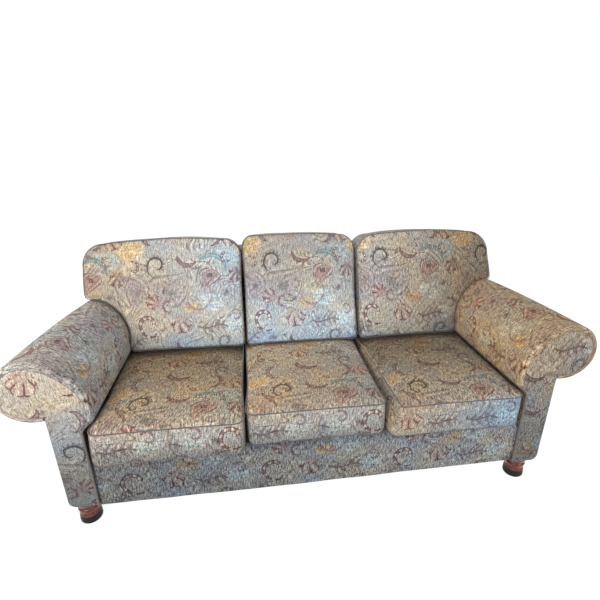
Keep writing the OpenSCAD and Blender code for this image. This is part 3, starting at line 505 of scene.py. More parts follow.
def build_print(t, given):
    """The printed cloth: a ground of two tones with thin strokes, and the figures over it."""
    c, width, height = colours(), sizes().repeat_width, sizes().repeat_height
    strokes = ("Reach", "Width", "Beads", "Ticks")
    common = [("Place", "Vector", None), ("Broken", "Float", 1.0), ("Strength", "Float", 1.0),
              ("Under", "Color", None), ("Fill", "Color", None), ("Ink", "Color", None)]
    builders = {"coil": build_coil, "drop": build_drop, "shell": build_shell,
                "spray": build_spray, "patch": build_patch}
    kinds = {kind: group("print_" + kind,
                         common + [(label, "Float", 0.0) for label in strokes if kind == "coil"],
                         [("Colour", "Color")], inked(build))
             for kind, build in builders.items()}
    cloth = given["Cloth"]
    shake = t.vector("SUBTRACT", t.noise(cloth, 45.0, 2.0, colour=True), (0.5, 0.5, 0.5))
    drawn = t.vector("MULTIPLY_ADD", shake, (0.007, 0.007, 0.0), cloth)
    patch = t.noise(cloth, 5.5, 1.0, 0.5, 0.5)
    colour = t.mix(t.span(patch, 0.34, 0.66, 0.12, 0.88), c.sand, c.lilac)
    level = t.noise(cloth, 7.0, 1.0, 0.45, 0.7)
    line_count = 15.0
    beat = t.math("FRACT", t.times(level, line_count))
    contour = t.size(t.less(beat, 0.5))
    where = t.noise(t.vector("ADD", cloth, (5.0, 2.0, 0.0)), 11.0, 1.0)
    dark = t.times(t.step(contour, 0.13, 0.06), t.step(where, 0.50, 0.58))
    light = t.times(t.step(contour, 0.33, 0.42), t.step(where, 0.46, 0.58))
    colour = t.mix(t.times(light, 0.38), colour, c.cream)
    colour = t.mix(t.times(dark, 0.55), colour, half(c.wine, c.ink))
    broken = t.step(t.noise(drawn, 190.0, 1.0, 0.6), 0.22, 0.42)
    for kind, x, y, turn, size, main, second, strength, *stroke in figures():
        moved = t.vector("SUBTRACT", drawn, (x, y, 0.0))
        wrapped = t.vector("WRAP", moved, (width / 2, height / 2, 1.0), (-width / 2, -height / 2, -1.0))
        placed = t.node("ShaderNodeMapping", vector_type="TEXTURE")
        t.put(placed.inputs["Vector"], wrapped)
        placed.inputs["Rotation"].default_value = (0.0, 0.0, math.radians(turn))
        placed.inputs["Scale"].default_value = (size, size, 1.0)
        colour = use_group(t, kinds[kind], Place=placed.outputs[0], Broken=broken, Strength=strength,
                           Under=colour, Fill=tuple(main), Ink=tuple(second),
                           **dict(zip(strokes, stroke)))["Colour"]
    return {"Colour": colour}


def build_weave(t, given):
    """Streaks of the chenille yarns, with a worm-like nap between them."""
    cloth = given["Cloth"]
    turned = t.turn(cloth, 0.10)
    broad = t.noise(t.vector("MULTIPLY", turned, (250.0, 42.0, 1.0)), 1.0, 2.0, 0.65)
    fine = t.noise(t.vector("MULTIPLY", cloth, (430.0, 150.0, 1.0)), 1.0, 2.0, 0.6)
    nap = t.size(t.less(t.noise(cloth, 135.0, 1.0, 0.5, 0.5), 0.5))
    worms = t.step(nap, 0.045, 0.012)
    shade = t.math("ADD", t.span(broad, 0.32, 0.68, 0.62, 1.40), t.span(fine, 0.3, 0.7, -0.34, 0.34))
    shade = t.math("MULTIPLY_ADD", worms, -0.08, shade)
    height = t.math("MULTIPLY_ADD", broad, 0.5, t.times(fine, 0.7))
    return {"Shade": shade, "Height": t.math("MULTIPLY_ADD", worms, -0.3, height)}


def cloth_material(name):
    """Chenille with the print, multiplied by the painted light and shade of the piece's own wash."""
    def build(t):
        print_group = group("chenille_print", [("Cloth", "Vector", None)],
                            [("Colour", "Color")], build_print)
        weave_group = group("chenille_weave", [("Cloth", "Vector", None)],
                            [("Shade", "Float"), ("Height", "Float")], build_weave)
        cloth = t.node("ShaderNodeUVMap", uv_map="cloth").outputs[0]
        wash = t.node("ShaderNodeAttribute", attribute_name="wash").outputs
        printed = use_group(t, print_group, Cloth=cloth)
        weave = use_group(t, weave_group, Cloth=cloth)
        # The wash paints light and shade over the print; its alpha sets the weave's contrast.
        tone = t.mix(1.0, printed["Colour"], wash["Color"], "MULTIPLY")
        contrast = t.less(weave["Shade"], 1.0)
        level = t.math("MULTIPLY_ADD", contrast, wash["Alpha"], 1.0)
        level = t.larger(level, 0.16)
        grey = t.join(level, level, level)
        rough = t.span(weave["Height"], 0.3, 0.9, 0.98, 0.84)
        return {"Base Color": t.mix(1.0, tone, grey, "MULTIPLY"), "Roughness": rough,
                "Height": (weave["Height"], 0.5, 0.0015)}
    return material(name, build, Sheen_Weight=0.05, Sheen_Roughness=0.5, Specular_IOR_Level=0.15)


# Shapes

def slope():
    return math.tan(sizes().back_rake)


def back_y(z):
    """Plane of the inside back at a height."""
    return BACK_PLANE + max(0.0, z - DECK_Z) * slope()


def rear_y(z):
    """Plane of the outside back at a height."""
    return REAR_LOW + (REAR_HIGH - REAR_LOW) * max(0.0, z - RAIL_TOP) / (BACK_TOP - RAIL_TOP)


def mix(a, b, share):
    return a + (b - a) * share


def clamp(value, low=0.0, high=1.0):
    return min(high, max(low, value))


def arc(x, z, r, start, end, count):
    """Points on an arc, with angles in degrees."""
    turns = [math.radians(mix(start, end, k / count)) for k in range(count + 1)]
    return [(x + r * math.cos(a), z + r * math.sin(a)) for a in turns]


def bowed(p, q, rise, count):
    """Points between two ends, bowed out to the right of the way by a rise."""
    (px, pz), (qx, qz) = p, q
    length = math.hypot(qx - px, qz - pz)
    nx, nz = (qz - pz) / length, -(qx - px) / length
    shares = [k / count for k in range(1, count)]
    return [(mix(px, qx, s) + nx * rise * 4 * s * (1 - s),
             mix(pz, qz, s) + nz * rise * 4 * s * (1 - s)) for s in shares]


def distances(points):
    """Distance of each point from the first one, along the row."""
    steps = np.linalg.norm(np.diff(np.array(points, float), axis=0), axis=1)
    return np.concatenate([[0], np.cumsum(steps)])


def closed_row(points):
    """The points with the first one once more at the end."""
    return np.vstack([points, points[:1]])


def even_loop(points, count):
    """The closed loop through the points, as evenly spaced points from the first one."""
    p = closed_row(points)
    run = distances(p)
    at = np.linspace(0, run[-1], count, endpoint=False)
    return np.stack([np.interp(at, run, p[:, k]) for k in (0, 1)], axis=1)


def even_path(points, count):
    """The open path through the points, as evenly spaced points with both ends."""
    p = np.array(points, float)
    run = distances(p)
    at = np.linspace(0, run[-1], count)
    return np.stack([np.interp(at, run, p[:, k]) for k in range(p.shape[1])], axis=1)


def loop_length(points):
    return float(distances(closed_row(points))[-1])


def fill(outline, step):
    """Points and faces inside a closed outline, with the outline's points first."""
    tiny, clear = 1e-12, 0.55 * step
    loop = np.array(outline, float)
    low, high = loop.min(0), loop.max(0)
    nx, ny = (max(2, round((high[k] - low[k]) / step)) for k in (0, 1))
    xs = np.linspace(low[0], high[0], nx + 1)[1:-1]
    ys = np.linspace(low[1], high[1], ny + 1)[1:-1]
    grid = np.stack(np.meshgrid(xs, ys), axis=-1).reshape(-1, 2)
    a, b = loop, np.roll(loop, -1, axis=0)
    way = b - a
    offset = grid[:, None] - a[None]
    share = np.clip((offset * way).sum(-1) / np.maximum((way * way).sum(-1), tiny), 0, 1)
    near = np.linalg.norm(offset - share[..., None] * way, axis=-1).min(1)
    crosses = ((a[:, 1] > grid[:, None, 1]) != (b[:, 1] > grid[:, None, 1])) & (
        grid[:, None, 0] < way[:, 0] * (grid[:, None, 1] - a[:, 1])
        / np.where(abs(way[:, 1]) < tiny, tiny, way[:, 1]) + a[:, 0])
    kept = grid[(crosses.sum(1) % 2 == 1) & (near > clear)]
    points = np.concatenate([loop, kept])
    n = len(loop)
    edges = [(i, (i + 1) % n) for i in range(n)]
    made = geometry.delaunay_2d_cdt([Vector(p) for p in points], edges, [list(range(n))], 1, 1e-6)
    origin = []
    for spot, ids in zip(made[0], made[3]):
        origin.append(min(ids) if ids else len(points))
        if not ids:
            points = np.vstack([points, spot])
    bm = bmesh.new()
    verts = [bm.verts.new((*p, 0)) for p in points]
    for f in made[2]:
        bm.faces.new([verts[origin[i]] for i in f])
    bmesh.ops.join_triangles(bm, faces=bm.faces[:], angle_face_threshold=3.1,
                             angle_shape_threshold=0.9)
    bm.verts.index_update()
    faces = [[v.index for v in f.verts] for f in bm.faces]
    bm.free()
    return points, faces


def soap_rise(points, faces, rim):
    """Height of a film blown up over the faces, 0 on the first rim points and 1 at the top."""
    n = len(points)
    matrix = np.zeros((n, n))
    for f in faces:
        for i, j in zip(f, f[1:] + f[:1]):
            matrix[i, j] = matrix[j, i] = -1.0
    np.fill_diagonal(matrix, -matrix.sum(1))
    height = np.zeros(n)
    height[rim:] = np.linalg.solve(matrix[rim:, rim:], np.ones(n - rim))
    return height / height.max()


class Shell:
    """Points and faces of a piece, with the cloth coordinates of every corner."""

    def __init__(self):
        self.points, self.faces, self.cloth = [], [], []

    def add(self, points):
        start = len(self.points)
        self.points.extend(tuple(p) for p in points)
        return list(range(start, len(self.points)))

    def face(self, corners, cloth):
        self.faces.append(tuple(corners))
        self.cloth.extend(cloth)

    def rows(self, first, second, cloth_first, cloth_second, closed=True):
        """Faces between two equal rows of points; a closed row has one more cloth point."""
        n = len(first)
        for k in range(n if closed else n - 1):
            j = (k + 1) % n
            self.face((first[k], second[k], second[j], first[j]),
                      (cloth_first[k], cloth_second[k], cloth_second[k + 1], cloth_first[k + 1]))

    def piece(self, name, mirrored=False):
        """Mesh object with a cloth map; a mirrored piece has its X and its faces turned."""
        mesh = bpy.data.meshes.new(name)
        points = [(-x, y, z) for x, y, z in self.points] if mirrored else self.points
        mesh.from_pydata(points, [], self.faces)
        layer = mesh.uv_layers.new(name="cloth")
        layer.data.foreach_set("uv", np.array(self.cloth, np.float32).ravel())
        if mirrored:
            mesh.flip_normals()
        mesh.update()
        mesh.shade_smooth()
        made = bpy.data.objects.new(name, mesh)
        bpy.context.scene.collection.objects.link(made)
        return made


def coordinates(obj):
    co = np.zeros(len(obj.data.vertices) * 3)
    obj.data.vertices.foreach_get("co", co)
    return co.reshape(-1, 3)


def set_coordinates(obj, co):
    obj.data.vertices.foreach_set("co", np.asarray(co, np.float32).ravel())
    obj.data.update()


def uneven(obj, amount, scale):
    """Small unevenness of stuffed cloth, along the normals."""
    seed = Vector((sizes().grain, 0, 0))
    co, normals = coordinates(obj), np.array([v.normal for v in obj.data.vertices])
    shift = np.array([noise.noise(Vector(p) * scale + seed) for p in co])
    set_coordinates(obj, co + normals * (shift * amount)[:, None])


def ramp(values, low, high):
    """0 below low and 1 above high, smooth between them."""
    share = np.clip((values - low) / (high - low), 0, 1)
    return share * share * (3 - 2 * share)


def tint(rgb, share, colour):
    """Rows of colour, of which a share is multiplied by a colour."""
    return rgb * (1 + share[:, None] * (np.array(colour) - 1))


# Tone of each piece, painted light and shade: lightness and warmth at its start and at its end, the way
# it fades (across from its left or front, or up from its bottom or inside), contrast of its weave
PAINTED_LIGHT_TONES = {
    "back_left": ((1.04, 0.6), (1.24, -0.6), "across", 1.1),
    "back_middle": ((1.32, -1.0), (0.94, 0.2), "up", 1.2),
    "back_right": ((1.04, -0.1), (0.50, 1.0), "across", 1.5),
    "top_left": ((1.00, 0.8), (0.42, 1.6), "up", 1.9),
    "top_middle": ((1.04, 1.1), (0.80, 0.6), "across", 1.6),
    "top_right": ((0.84, 0.7), (0.33, 1.3), "up", 2.1),
    "front_left": ((0.58, 0.0), (0.98, 0.2), "up", 1.7),
    "front_middle": ((0.70, -0.2), (0.95, 0.1), "up", 1.6),
    "front_right": ((0.92, 0.7), (0.78, -1.4), "across", 1.6),
    "border": ((0.42, -0.6), (0.66, -0.5), "across", 2.1),
    "arm_left": ((0.94, -0.2), (1.30, 0.2), "up", 1.7),
    "arm_right": ((0.98, 1.2), (0.75, 1.2), "up", 1.7),
    "facing_left": ((0.42, -0.7), (1.22, 0.3), "up", 1.1),
    "facing_right": ((0.40, -0.7), (0.76, 0.6), "up", 1.6),
}


def toned(name, across, up):
    """Painted light and shade for places from 0 to 1 across a piece and up it, warm ones redder and less
    blue.
    """
    start, end, way, contrast = PAINTED_LIGHT_TONES[name]
    share = ramp(across if way == "across" else up, 0.0, 1.0)
    light, warmth = mix(start[0], end[0], share), mix(start[1], end[1], share)
    rgb = [light * (1 + 0.12 * warmth), light * (1 - 0.06 * warmth), light * (1 - 0.28 * warmth)]
    return np.column_stack(rgb + [np.full(len(share), contrast)])


def shade(rgba, share, colour):
    """Tints rows of colour and contrast with painted shade in a crevice; low on a back cushion the tint
    is painted cool light.
    """
    return np.column_stack([tint(rgba[:, :3], share, colour), rgba[:, 3]])


def wash(obj, tone):
    """Colours every point of a piece with tone(places, normals), rows of red, green, blue, contrast; on
    the cushions, arms and border these are painted light and shade.
    """
    layer = obj.data.color_attributes.new("wash", "FLOAT_COLOR", "POINT")
    normals = np.array([v.normal for v in obj.data.vertices])
    rows = tone(coordinates(obj), normals)
    layer.data.foreach_set("color", rows.astype(np.float32).ravel())


def seat_tone(name, low, high):
    """Painted light and shade of a seat cushion, one for its top and one for its boxing, with painted
    shade in the crevices.
    """
    def tone(co, normals):
        across = (co[:, 0] - low.x) / (high.x - low.x)
        deep = co[:, 1] - low.y
        top = toned("top_" + name, across, deep / (high.y - low.y))
        front = toned("front_" + name, across, (co[:, 2] - low.z) / sizes().seat_rim)
        up = ramp(normals[:, 2], 0.55, 0.85)[:, None]
        rgba = top * up + front * (1 - up)
        # Painted shade at the sides of the seat cushion and at its rear under the back cushion.
        rgba = shade(rgba, ramp(abs(across - 0.5), 0.484, 0.500), SHADE_BESIDE_SEAT)
        return shade(rgba, ramp(deep, 0.50, 0.56), SHADE_UNDER_BACK)
    return tone


def back_tone(name, low, high):
    """Painted light and shade of a back cushion, with painted shade at its sides and in the crevice over
    the seat, and painted cool light low on it.
    """
    def tone(co, normals):
        across = (co[:, 0] - low.x) / (high.x - low.x)
        above = co[:, 2] - low.z
        rgba = toned("back_" + name, across, above / (high.z - low.z))
        edge = np.minimum(co[:, 0] - low.x, high.x - co[:, 0])
        # Painted shade at the sides, painted cool light low on the cushion and painted shade in the
        # crevice over the seat.
        rgba = shade(rgba, 1 - ramp(edge, -0.002, 0.012), SHADE_BESIDE_BACK)
        rgba = shade(rgba, 1 - ramp(above, 0.0, 0.13), COOL_LIGHT_LOW_ON_BACK)
        return shade(rgba, 1 - ramp(above, -0.002, 0.018), SHADE_OVER_SEAT)
    return tone


def arm_reach():
    """X of the outermost part of the arm roll."""
    return FACE_X + sizes().roll_out + sizes().roll_radius


def arm_tone(name, side):
    """Painted light and shade of an arm cover, from its front to the back and from its inside over the
    roll, with painted shade low beside the seat.
    """
    def tone(co, normals):
        across = (co[:, 1] - ARM_FRONT) / (back_y(ARM_TOP) - ARM_FRONT)
        up = (side * co[:, 0] - FACE_X) / (arm_reach() - FACE_X)
        # Painted shade low on the arm beside the seat cushions.
        low = 1 - ramp(co[:, 2], SEAT_BASE + 0.10, SEAT_BASE + 0.20)
        return shade(toned("arm_" + name, across, up), low, SHADE_LOW_ON_ARM)
    return tone


def facing_tone(name, side):
    """Painted light and shade of an arm's front, from its inner edge outwards and from the foot to the
    roll.
    """
    def tone(co, normals):
        across = (side * co[:, 0] - FACE_X) / (arm_reach() - FACE_X)
        return toned("facing_" + name, across, (co[:, 2] - BASE_Z) / (ARM_TOP - BASE_Z))
    return tone


def border_tone(low, high):
    """Painted light and shade of the front border, with a painted shadow under the seat cushions."""
    def tone(co, normals):
        across = (co[:, 0] - low.x) / (high.x - low.x)
        rgba = toned("border", across, (co[:, 2] - low.z) / (high.z - low.z))
        # Painted shadow under the seat cushions.
        return shade(rgba, ramp(co[:, 2], high.z - 0.05, high.z), SHADOW_UNDER_SEAT)
    return tone


def plain_tone(red, green, blue):
    def tone(co, normals):
        return np.ones((len(co), 4)) * [red, green, blue, 1.0]
    return tone


def swell(obj, pressure, limit):
    """Blows the piece up as cloth, and moves no point further than the cap or past its limits."""
    before, last_frame = coordinates(obj), 20
    cloth = obj.modifiers.new("Cloth", "CLOTH")
    s = cloth.settings
    s.quality, s.mass = 6, 0.35
    s.tension_stiffness = s.compression_stiffness = 22
    s.shear_stiffness, s.bending_stiffness = 8, 1.2
    s.use_pressure, s.uniform_pressure_force = True, pressure
    s.effector_weights.gravity = 0
    scene = bpy.context.scene
    for number in range(1, last_frame + 1):
        scene.frame_set(number)
    swollen = obj.evaluated_get(bpy.context.evaluated_depsgraph_get()).to_mesh()
    after = np.zeros(len(before) * 3)
    swollen.vertices.foreach_get("co", after)
    obj.modifiers.remove(cloth)
    scene.frame_set(1)
    move = after.reshape(-1, 3) - before
    far = np.linalg.norm(move, axis=1, keepdims=True)
    move *= np.minimum(1.0, SWELL_CAP / np.maximum(far, 1e-9))
    set_coordinates(obj, limit(before + move))


def smooth_finish(obj):
    modifier = obj.modifiers.new("Subdivision", "SUBSURF")
    modifier.levels = modifier.render_levels = 1


def finish_piece(obj, body, mat, nodes=()):
    """Material, body and slot of a piece, and the nodes that it stands for."""
    obj.data.materials.clear()
    obj.data.materials.append(mat)
    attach(obj, body)
    if nodes:
        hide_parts(*nodes)


def shifted(points, ids, shift):
    """Cloth coordinates of the points with these numbers."""
    return [(points[i][0] + shift[0], points[i][1] + shift[1]) for i in ids]


def cushion_shell(outline_at, place, crown, power, rows, step, cloth_shift, edge_shift=None):
    """Closed cushion: a crowned face, a boxing in rows and a flat face behind.
    place(a, b, t, out) gives the point at (a, b) of the face, t of the way back, out in front.
    A low power makes the crown flatter on top. The shifts place its cloth on the print."""
    rear_away = 0.31
    front, rear = outline_at(0.0), outline_at(1.0)
    shell = Shell()
    points, faces = fill(front, step)
    rim = len(front)
    rise = crown * soap_rise(points, faces, rim) ** power
    front_ids = shell.add([place(p[0], p[1], 0.0, h) for p, h in zip(points, rise)])
    for f in faces:
        shell.face([front_ids[i] for i in f], shifted(points, f, cloth_shift))
    run = distances(closed_row(front))
    edge_u, edge_v = edge_shift or cloth_shift
    last, deep = front_ids[:rim], 0.0
    for k in range(1, rows + 1):
        t = k / rows
        ids = shell.add([place(p[0], p[1], t, 0.0) for p in outline_at(t)])
        gap = np.array(shell.points[ids[0]]) - np.array(shell.points[last[0]])
        deeper = deep - float(np.linalg.norm(gap))
        shell.rows(last, ids, [(u + edge_u, deep + edge_v) for u in run],
                   [(u + edge_u, deeper + edge_v) for u in run])
        last, deep = ids, deeper
    rear_points, rear_faces = fill(rear, step)
    rear_ids = last + shell.add([place(p[0], p[1], 1.0, 0.0) for p in rear_points[rim:]])
    rear_shift = (cloth_shift[0] + rear_away, cloth_shift[1])
    for f in rear_faces:
        turned = f[::-1]
        shell.face([rear_ids[i] for i in turned], shifted(rear_points, turned, rear_shift))
    return shell, front_ids[:rim], last


def tube(name, loops, radius, body, mat):
    """One mesh of welts along closed or open rows of points, made by a node tree."""
    spacing = 1.6
    curve = bpy.data.curves.new(name + "_line", "CURVE")
    curve.dimensions = "3D"
    for points, closed in loops:
        spline = curve.splines.new("POLY")
        spline.points.add(len(points) - 1)
        spline.points.foreach_set("co", np.column_stack([points, np.ones(len(points))]).ravel())
        spline.use_cyclic_u = closed
    line = bpy.data.objects.new(name + "_line", curve)
    bpy.context.scene.collection.objects.link(line)
    modifier = line.modifiers.new("Welt", "NODES")
    modifier.node_group = welt_tree()
    sockets = {s.name: s.identifier for s in welt_tree().interface.items_tree if s.in_out == "INPUT"}
    modifier[sockets["Radius"]] = radius
    modifier[sockets["Spacing"]] = radius * spacing
    modifier[sockets["Material"]] = mat
    bpy.context.view_layer.update()
    graph = bpy.context.evaluated_depsgraph_get()
    mesh = bpy.data.meshes.new_from_object(line.evaluated_get(graph))
    mesh.name = name
    bpy.data.objects.remove(line)
    made = bpy.data.objects.new(name, mesh)
    bpy.context.scene.collection.objects.link(made)
    finish_piece(made, body, mat)


def welt_tree():
    """Geometry nodes: a round cord swept along every curve."""
    if "sofa_welt" in bpy.data.node_groups:
        return bpy.data.node_groups["sofa_welt"]
    tree = bpy.data.node_groups.new("sofa_welt", "GeometryNodeTree")
    face = tree.interface
    face.new_socket("Geometry", in_out="INPUT", socket_type="NodeSocketGeometry")
    for label in ("Radius", "Spacing"):
        face.new_socket(label, in_out="INPUT", socket_type="NodeSocketFloat")
    face.new_socket("Material", in_out="INPUT", socket_type="NodeSocketMaterial")
    face.new_socket("Geometry", in_out="OUTPUT", socket_type="NodeSocketGeometry")
    t = Tree(tree)
    source = t.node("NodeGroupInput").outputs
    even = t.node("GeometryNodeResampleCurve", mode="LENGTH")
    t.put(even.inputs["Curve"], source["Geometry"])
    t.put(even.inputs["Length"], source["Spacing"])
    ring = t.node("GeometryNodeCurvePrimitiveCircle")
    ring.inputs["Resolution"].default_value = 8
    t.put(ring.inputs["Radius"], source["Radius"])
    sweep = t.node("GeometryNodeCurveToMesh")
    t.put(sweep.inputs["Curve"], even.outputs[0])
    t.put(sweep.inputs["Profile Curve"], ring.outputs[0])
    sweep.inputs["Fill Caps"].default_value = True
    soft = t.node("GeometryNodeSetShadeSmooth")
    t.put(soft.inputs["Geometry"], sweep.outputs[0])
    real = t.node("GeometryNodeRealizeInstances")
    t.put(real.inputs[0], soft.outputs[0])
    finish = t.node("GeometryNodeSetMaterial")
    t.put(finish.inputs["Geometry"], real.outputs[0])
    t.put(finish.inputs["Material"], source["Material"])
    t.put(t.node("NodeGroupOutput").inputs[0], finish.outputs[0])
    return tree


def welt_material(name, dark):
    """Cord covered in the same chenille, darkened by a share of the feet's base colour."""
    def build(t):
        c = colours()
        place = t.object_place()
        patch = t.noise(place, 14.0, 2.0)
        streak = t.noise(place, 260.0, 2.0, 0.6)
        sand, lilac = t.mix(0.55, c.sand, c.ink), t.mix(0.55, c.lilac, c.ink)
        base = t.mix(t.step(patch, 0.40, 0.6), sand, lilac)
        base = t.mix(dark, base, tuple(c.base))
        colour = t.mix(t.step(streak, 0.45, 0.7), base, t.mix(0.5, c.ink, c.wine))
        return {"Base Color": colour, "Height": (streak, 0.5, 0.001)}
    return material(name, build, Roughness=0.92, Sheen_Weight=0.1)


# Seat cushions

def rounded_box(w, d, r, pull, count):
    """Plan of a seat cushion from its front middle, with sides drawn in between the corners."""
    x, y = w / 2 - r, d / 2 - r
    corners = [(x, -y, -90), (x, y, 0), (-x, y, 90), (-x, -y, 180)]
    front = (0.0, -d / 2 + pull)
    points = [front] + bowed(front, (x, -d / 2), 0.0, 12)
    for i, (cx, cy, a) in enumerate(corners):
        points += arc(cx, cy, r, a, a + 90, 10)
        nx, ny, na = corners[(i + 1) % 4]
        if i < 3:
            turn = math.radians(na)
            points += bowed(points[-1], (nx + r * math.cos(turn), ny + r * math.sin(turn)), -pull, 16)
    points += bowed(points[-1], front, 0.0, 12)
    return even_loop(points, count)


class SofaSeats(bpy.types.Operator):
    """Builds the three loose seat cushions with their welts."""
    bl_idname = "object.sofa_seats"
    bl_label = "Seat Cushions"

    def execute(self, context):
        for name in SEATS:
            self.cushion(name)
        return {"FINISHED"}

    def cushion(self, name):
        s = sizes()
        low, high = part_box("seat_cover_" + name)
        middle = (low + high) / 2
        w, d = high.x - low.x, high.y - low.y - 2 * s.seat_bulge
        count = round(2 * (w + d) / s.mesh_step)
        draw_in, foot_draw, foot_start, foot_run = 0.004, 0.018, 0.9, 0.1
        slack, front_slack, lowest_spread = 0.0004, 0.009, 0.014

        def outline(t):
            loop = rounded_box(w, d, s.seat_corner, draw_in, count)
            draw = 1 - foot_draw * max(0.0, (t - foot_start) / foot_run) ** 2
            full = s.seat_bulge * math.sin(math.pi * min(1.0, t * 1.1))
            loop[:, 1] *= draw * (1 + 2 * full / d)
            loop[:, 0] *= draw
            return loop

        lean, narrow = SEAT_LEANS[name]

        def place(a, b, t, out):
            beside = max(0.0, 0.5 - (a + w / 2) / 0.24) * 2
            ahead = 0.5 - b / d
            shift = lean * (1 - t) * (0.35 + 0.65 * ahead) + narrow * ahead * t
            x = middle.x + a + min(1.0, beside) ** 2 * shift
            return (x, middle.y + b, SEAT_BASE + s.seat_rim * (1 - t) + out)

        def limit(co):
            spread = lowest_spread * (name == "left") * ramp(-co[:, 2], -low.z - 0.11, -low.z - 0.06)
            co[:, 0] = np.clip(co[:, 0], low.x - slack - spread, high.x + slack)
            co[:, 1] = np.clip(co[:, 1], low.y - front_slack, high.y + slack)
            co[:, 2] = np.clip(co[:, 2], SEAT_BASE, high.z - 0.0005)
            return co

        shell, top, bottom = cushion_shell(
            outline, place, crown=s.seat_crown, power=0.42, rows=12, step=s.mesh_step,
            cloth_shift=SEAT_CLOTH[name], edge_shift=SEAT_EDGE_CLOTH[name])
        obj = shell.piece("seat_cushion_" + name)
        uneven(obj, amount=0.0045, scale=6.0)
        swell(obj, SEAT_PRESSURE, limit)
        set_coordinates(obj, limit(coordinates(obj)))
        wash(obj, seat_tone(name, low, high))
        co = coordinates(obj)
        smooth_finish(obj)
        finish_piece(obj, "seat_" + name, cloth_material("seat_chenille"),
                     ("seat_cover_" + name, "seat_core_" + name))
        low_welt = co[bottom] + [0, 0, s.welt * 1.6]
        tube("seat_welts_" + name, [(co[top], True), (low_welt, True)], s.welt,
             "seat_" + name, welt_material("seat_cord", 0.35))


# Back cushions

def roll_x(share):
    """Middle of the roll at a share of the way from the front to the back."""
    return FACE_X + sizes().roll_out - sizes().roll_lean * share ** 3


def roll_r(share):
    return sizes().roll_radius - sizes().roll_taper * share ** 3


def recess_heights():
    """Heights between which the inside of an arm comes out of the recess beside the seats."""
    rim, below, above = SEAT_BASE + sizes().seat_rim, 0.026, 0.034
    return rim - below, rim + above


def over_facing(z):
    """0 low on an arm, where the facing covers the front edge of its cover, and 1 higher up."""
    low, high = recess_heights()
    return clamp((z - low) / (high - low))


def full_roll(share, x, z, side):
    """A place on the roll, swelled as the stuffed arm is; the left arm sags towards its back."""
    more, blend = sizes().roll_more, 0.1
    roll_low, roll_inner, roll_middle = DECK_Z + 0.15, FACE_X + 0.02, FACE_X + 0.1
    away = clamp((z - ARM_TOP + roll_r(share)) / roll_r(share), -1.0, 1.0)
    over = clamp((z - roll_low) / blend) * clamp((x - roll_inner) / blend)
    out = clamp((x - roll_middle) / 0.15)
    if side < 0:
        lift = more * (mix(-0.7, -1.9, share) + mix(1.1, 0.4, share) * away)
        reach = more * (1 - 2.2 * share)
    else:
        lift = more * mix(0.35, 0.15, share) * (1 + away)
        reach = more * (1.1 - share)
    return x + reach * over * out, z + lift * over


def flare_point(share, inset, a):
    """Point of the flare from the inside arm up to the roll, at an angle of its rounded square."""
    squareness = 1.7
    power = 2 / squareness
    cx = roll_x(share)
    w, h = cx - FACE_X - inset, sizes().flare - inset
    x = cx - w * max(0.0, math.cos(a)) ** power
    return (x, ARM_TOP - sizes().flare + h * math.sin(a) ** power)


def middle_outline(low_x, high_x, base, top, bulge):
    """Front view of the middle back cushion, a little lower at its right end."""
    b, pull, corner, far_corner = 0.022, -0.002, 0.050, 0.072
    far_top = top - 0.004
    points = [((low_x + high_x) / 2, base)]
    points += bowed(points[0], (high_x - b, base), 0, 12)
    points += arc(high_x - b, base + b, b, -90, 0, 6)
    points += bowed(points[-1], (high_x, far_top - far_corner), pull, 14)
    points += arc(high_x - far_corner, far_top - far_corner, far_corner, 0, 90, 10)
    points += bowed(points[-1], (low_x + corner, top), bulge, 20)
    points += arc(low_x + corner, top - corner, corner, 90, 180, 10)
    points += bowed(points[-1], (low_x, base + b), pull, 14)
    points += arc(low_x + b, base + b, b, 180, 270, 6)
    points += bowed(points[-1], points[0], 0, 12)
    return points


def ear_outline(inner, depth, base, top, r, corner, slant):
    """Outer back cushion from its inner seam, with its ear over the arm."""
    s = sizes()
    clear, b, tip, pull, ear_steps = 0.003, 0.022, 0.020, -0.002, 24
    share = 1 - (s.back_depth - depth) / (back_y(ARM_TOP) - ARM_FRONT)
    side, ear_x, ear_z = FACE_X - clear, FACE_X + s.ear_reach + 0.0005, ARM_TOP + clear
    points = [((inner + side) / 2, base)]
    points += bowed(points[0], (side - b, base), 0, 12)
    points += arc(side - b, base + b, b, -90, 0, 6)
    for k in range(1, ear_steps):
        a = math.radians(90 * k / ear_steps)
        x, z = flare_point(share, 0.0, a)
        points.append((x - clear * math.cos(a), z + clear * 0.7))
    points.append((roll_x(share), ear_z))
    points += arc(ear_x + slant - tip, ear_z + tip, tip, -80, 0, 6)
    points += bowed(points[-1], (ear_x - slant, top - r), 0.002, 8)
    points += arc(ear_x - slant - r, top - r, r, 0, 90, 14)
    inner_top = top - 0.5 * slant
    points += bowed(points[-1], (inner + corner, inner_top), s.top_bulge, 24)
    points += arc(inner + corner, inner_top - corner, corner, 90, 180, 10)
    points += bowed(points[-1], (inner, base + b), pull, 14)
    points += arc(inner + b, base + b, b, 180, 270, 6)
    points += bowed(points[-1], points[0], 0, 12)
    return points


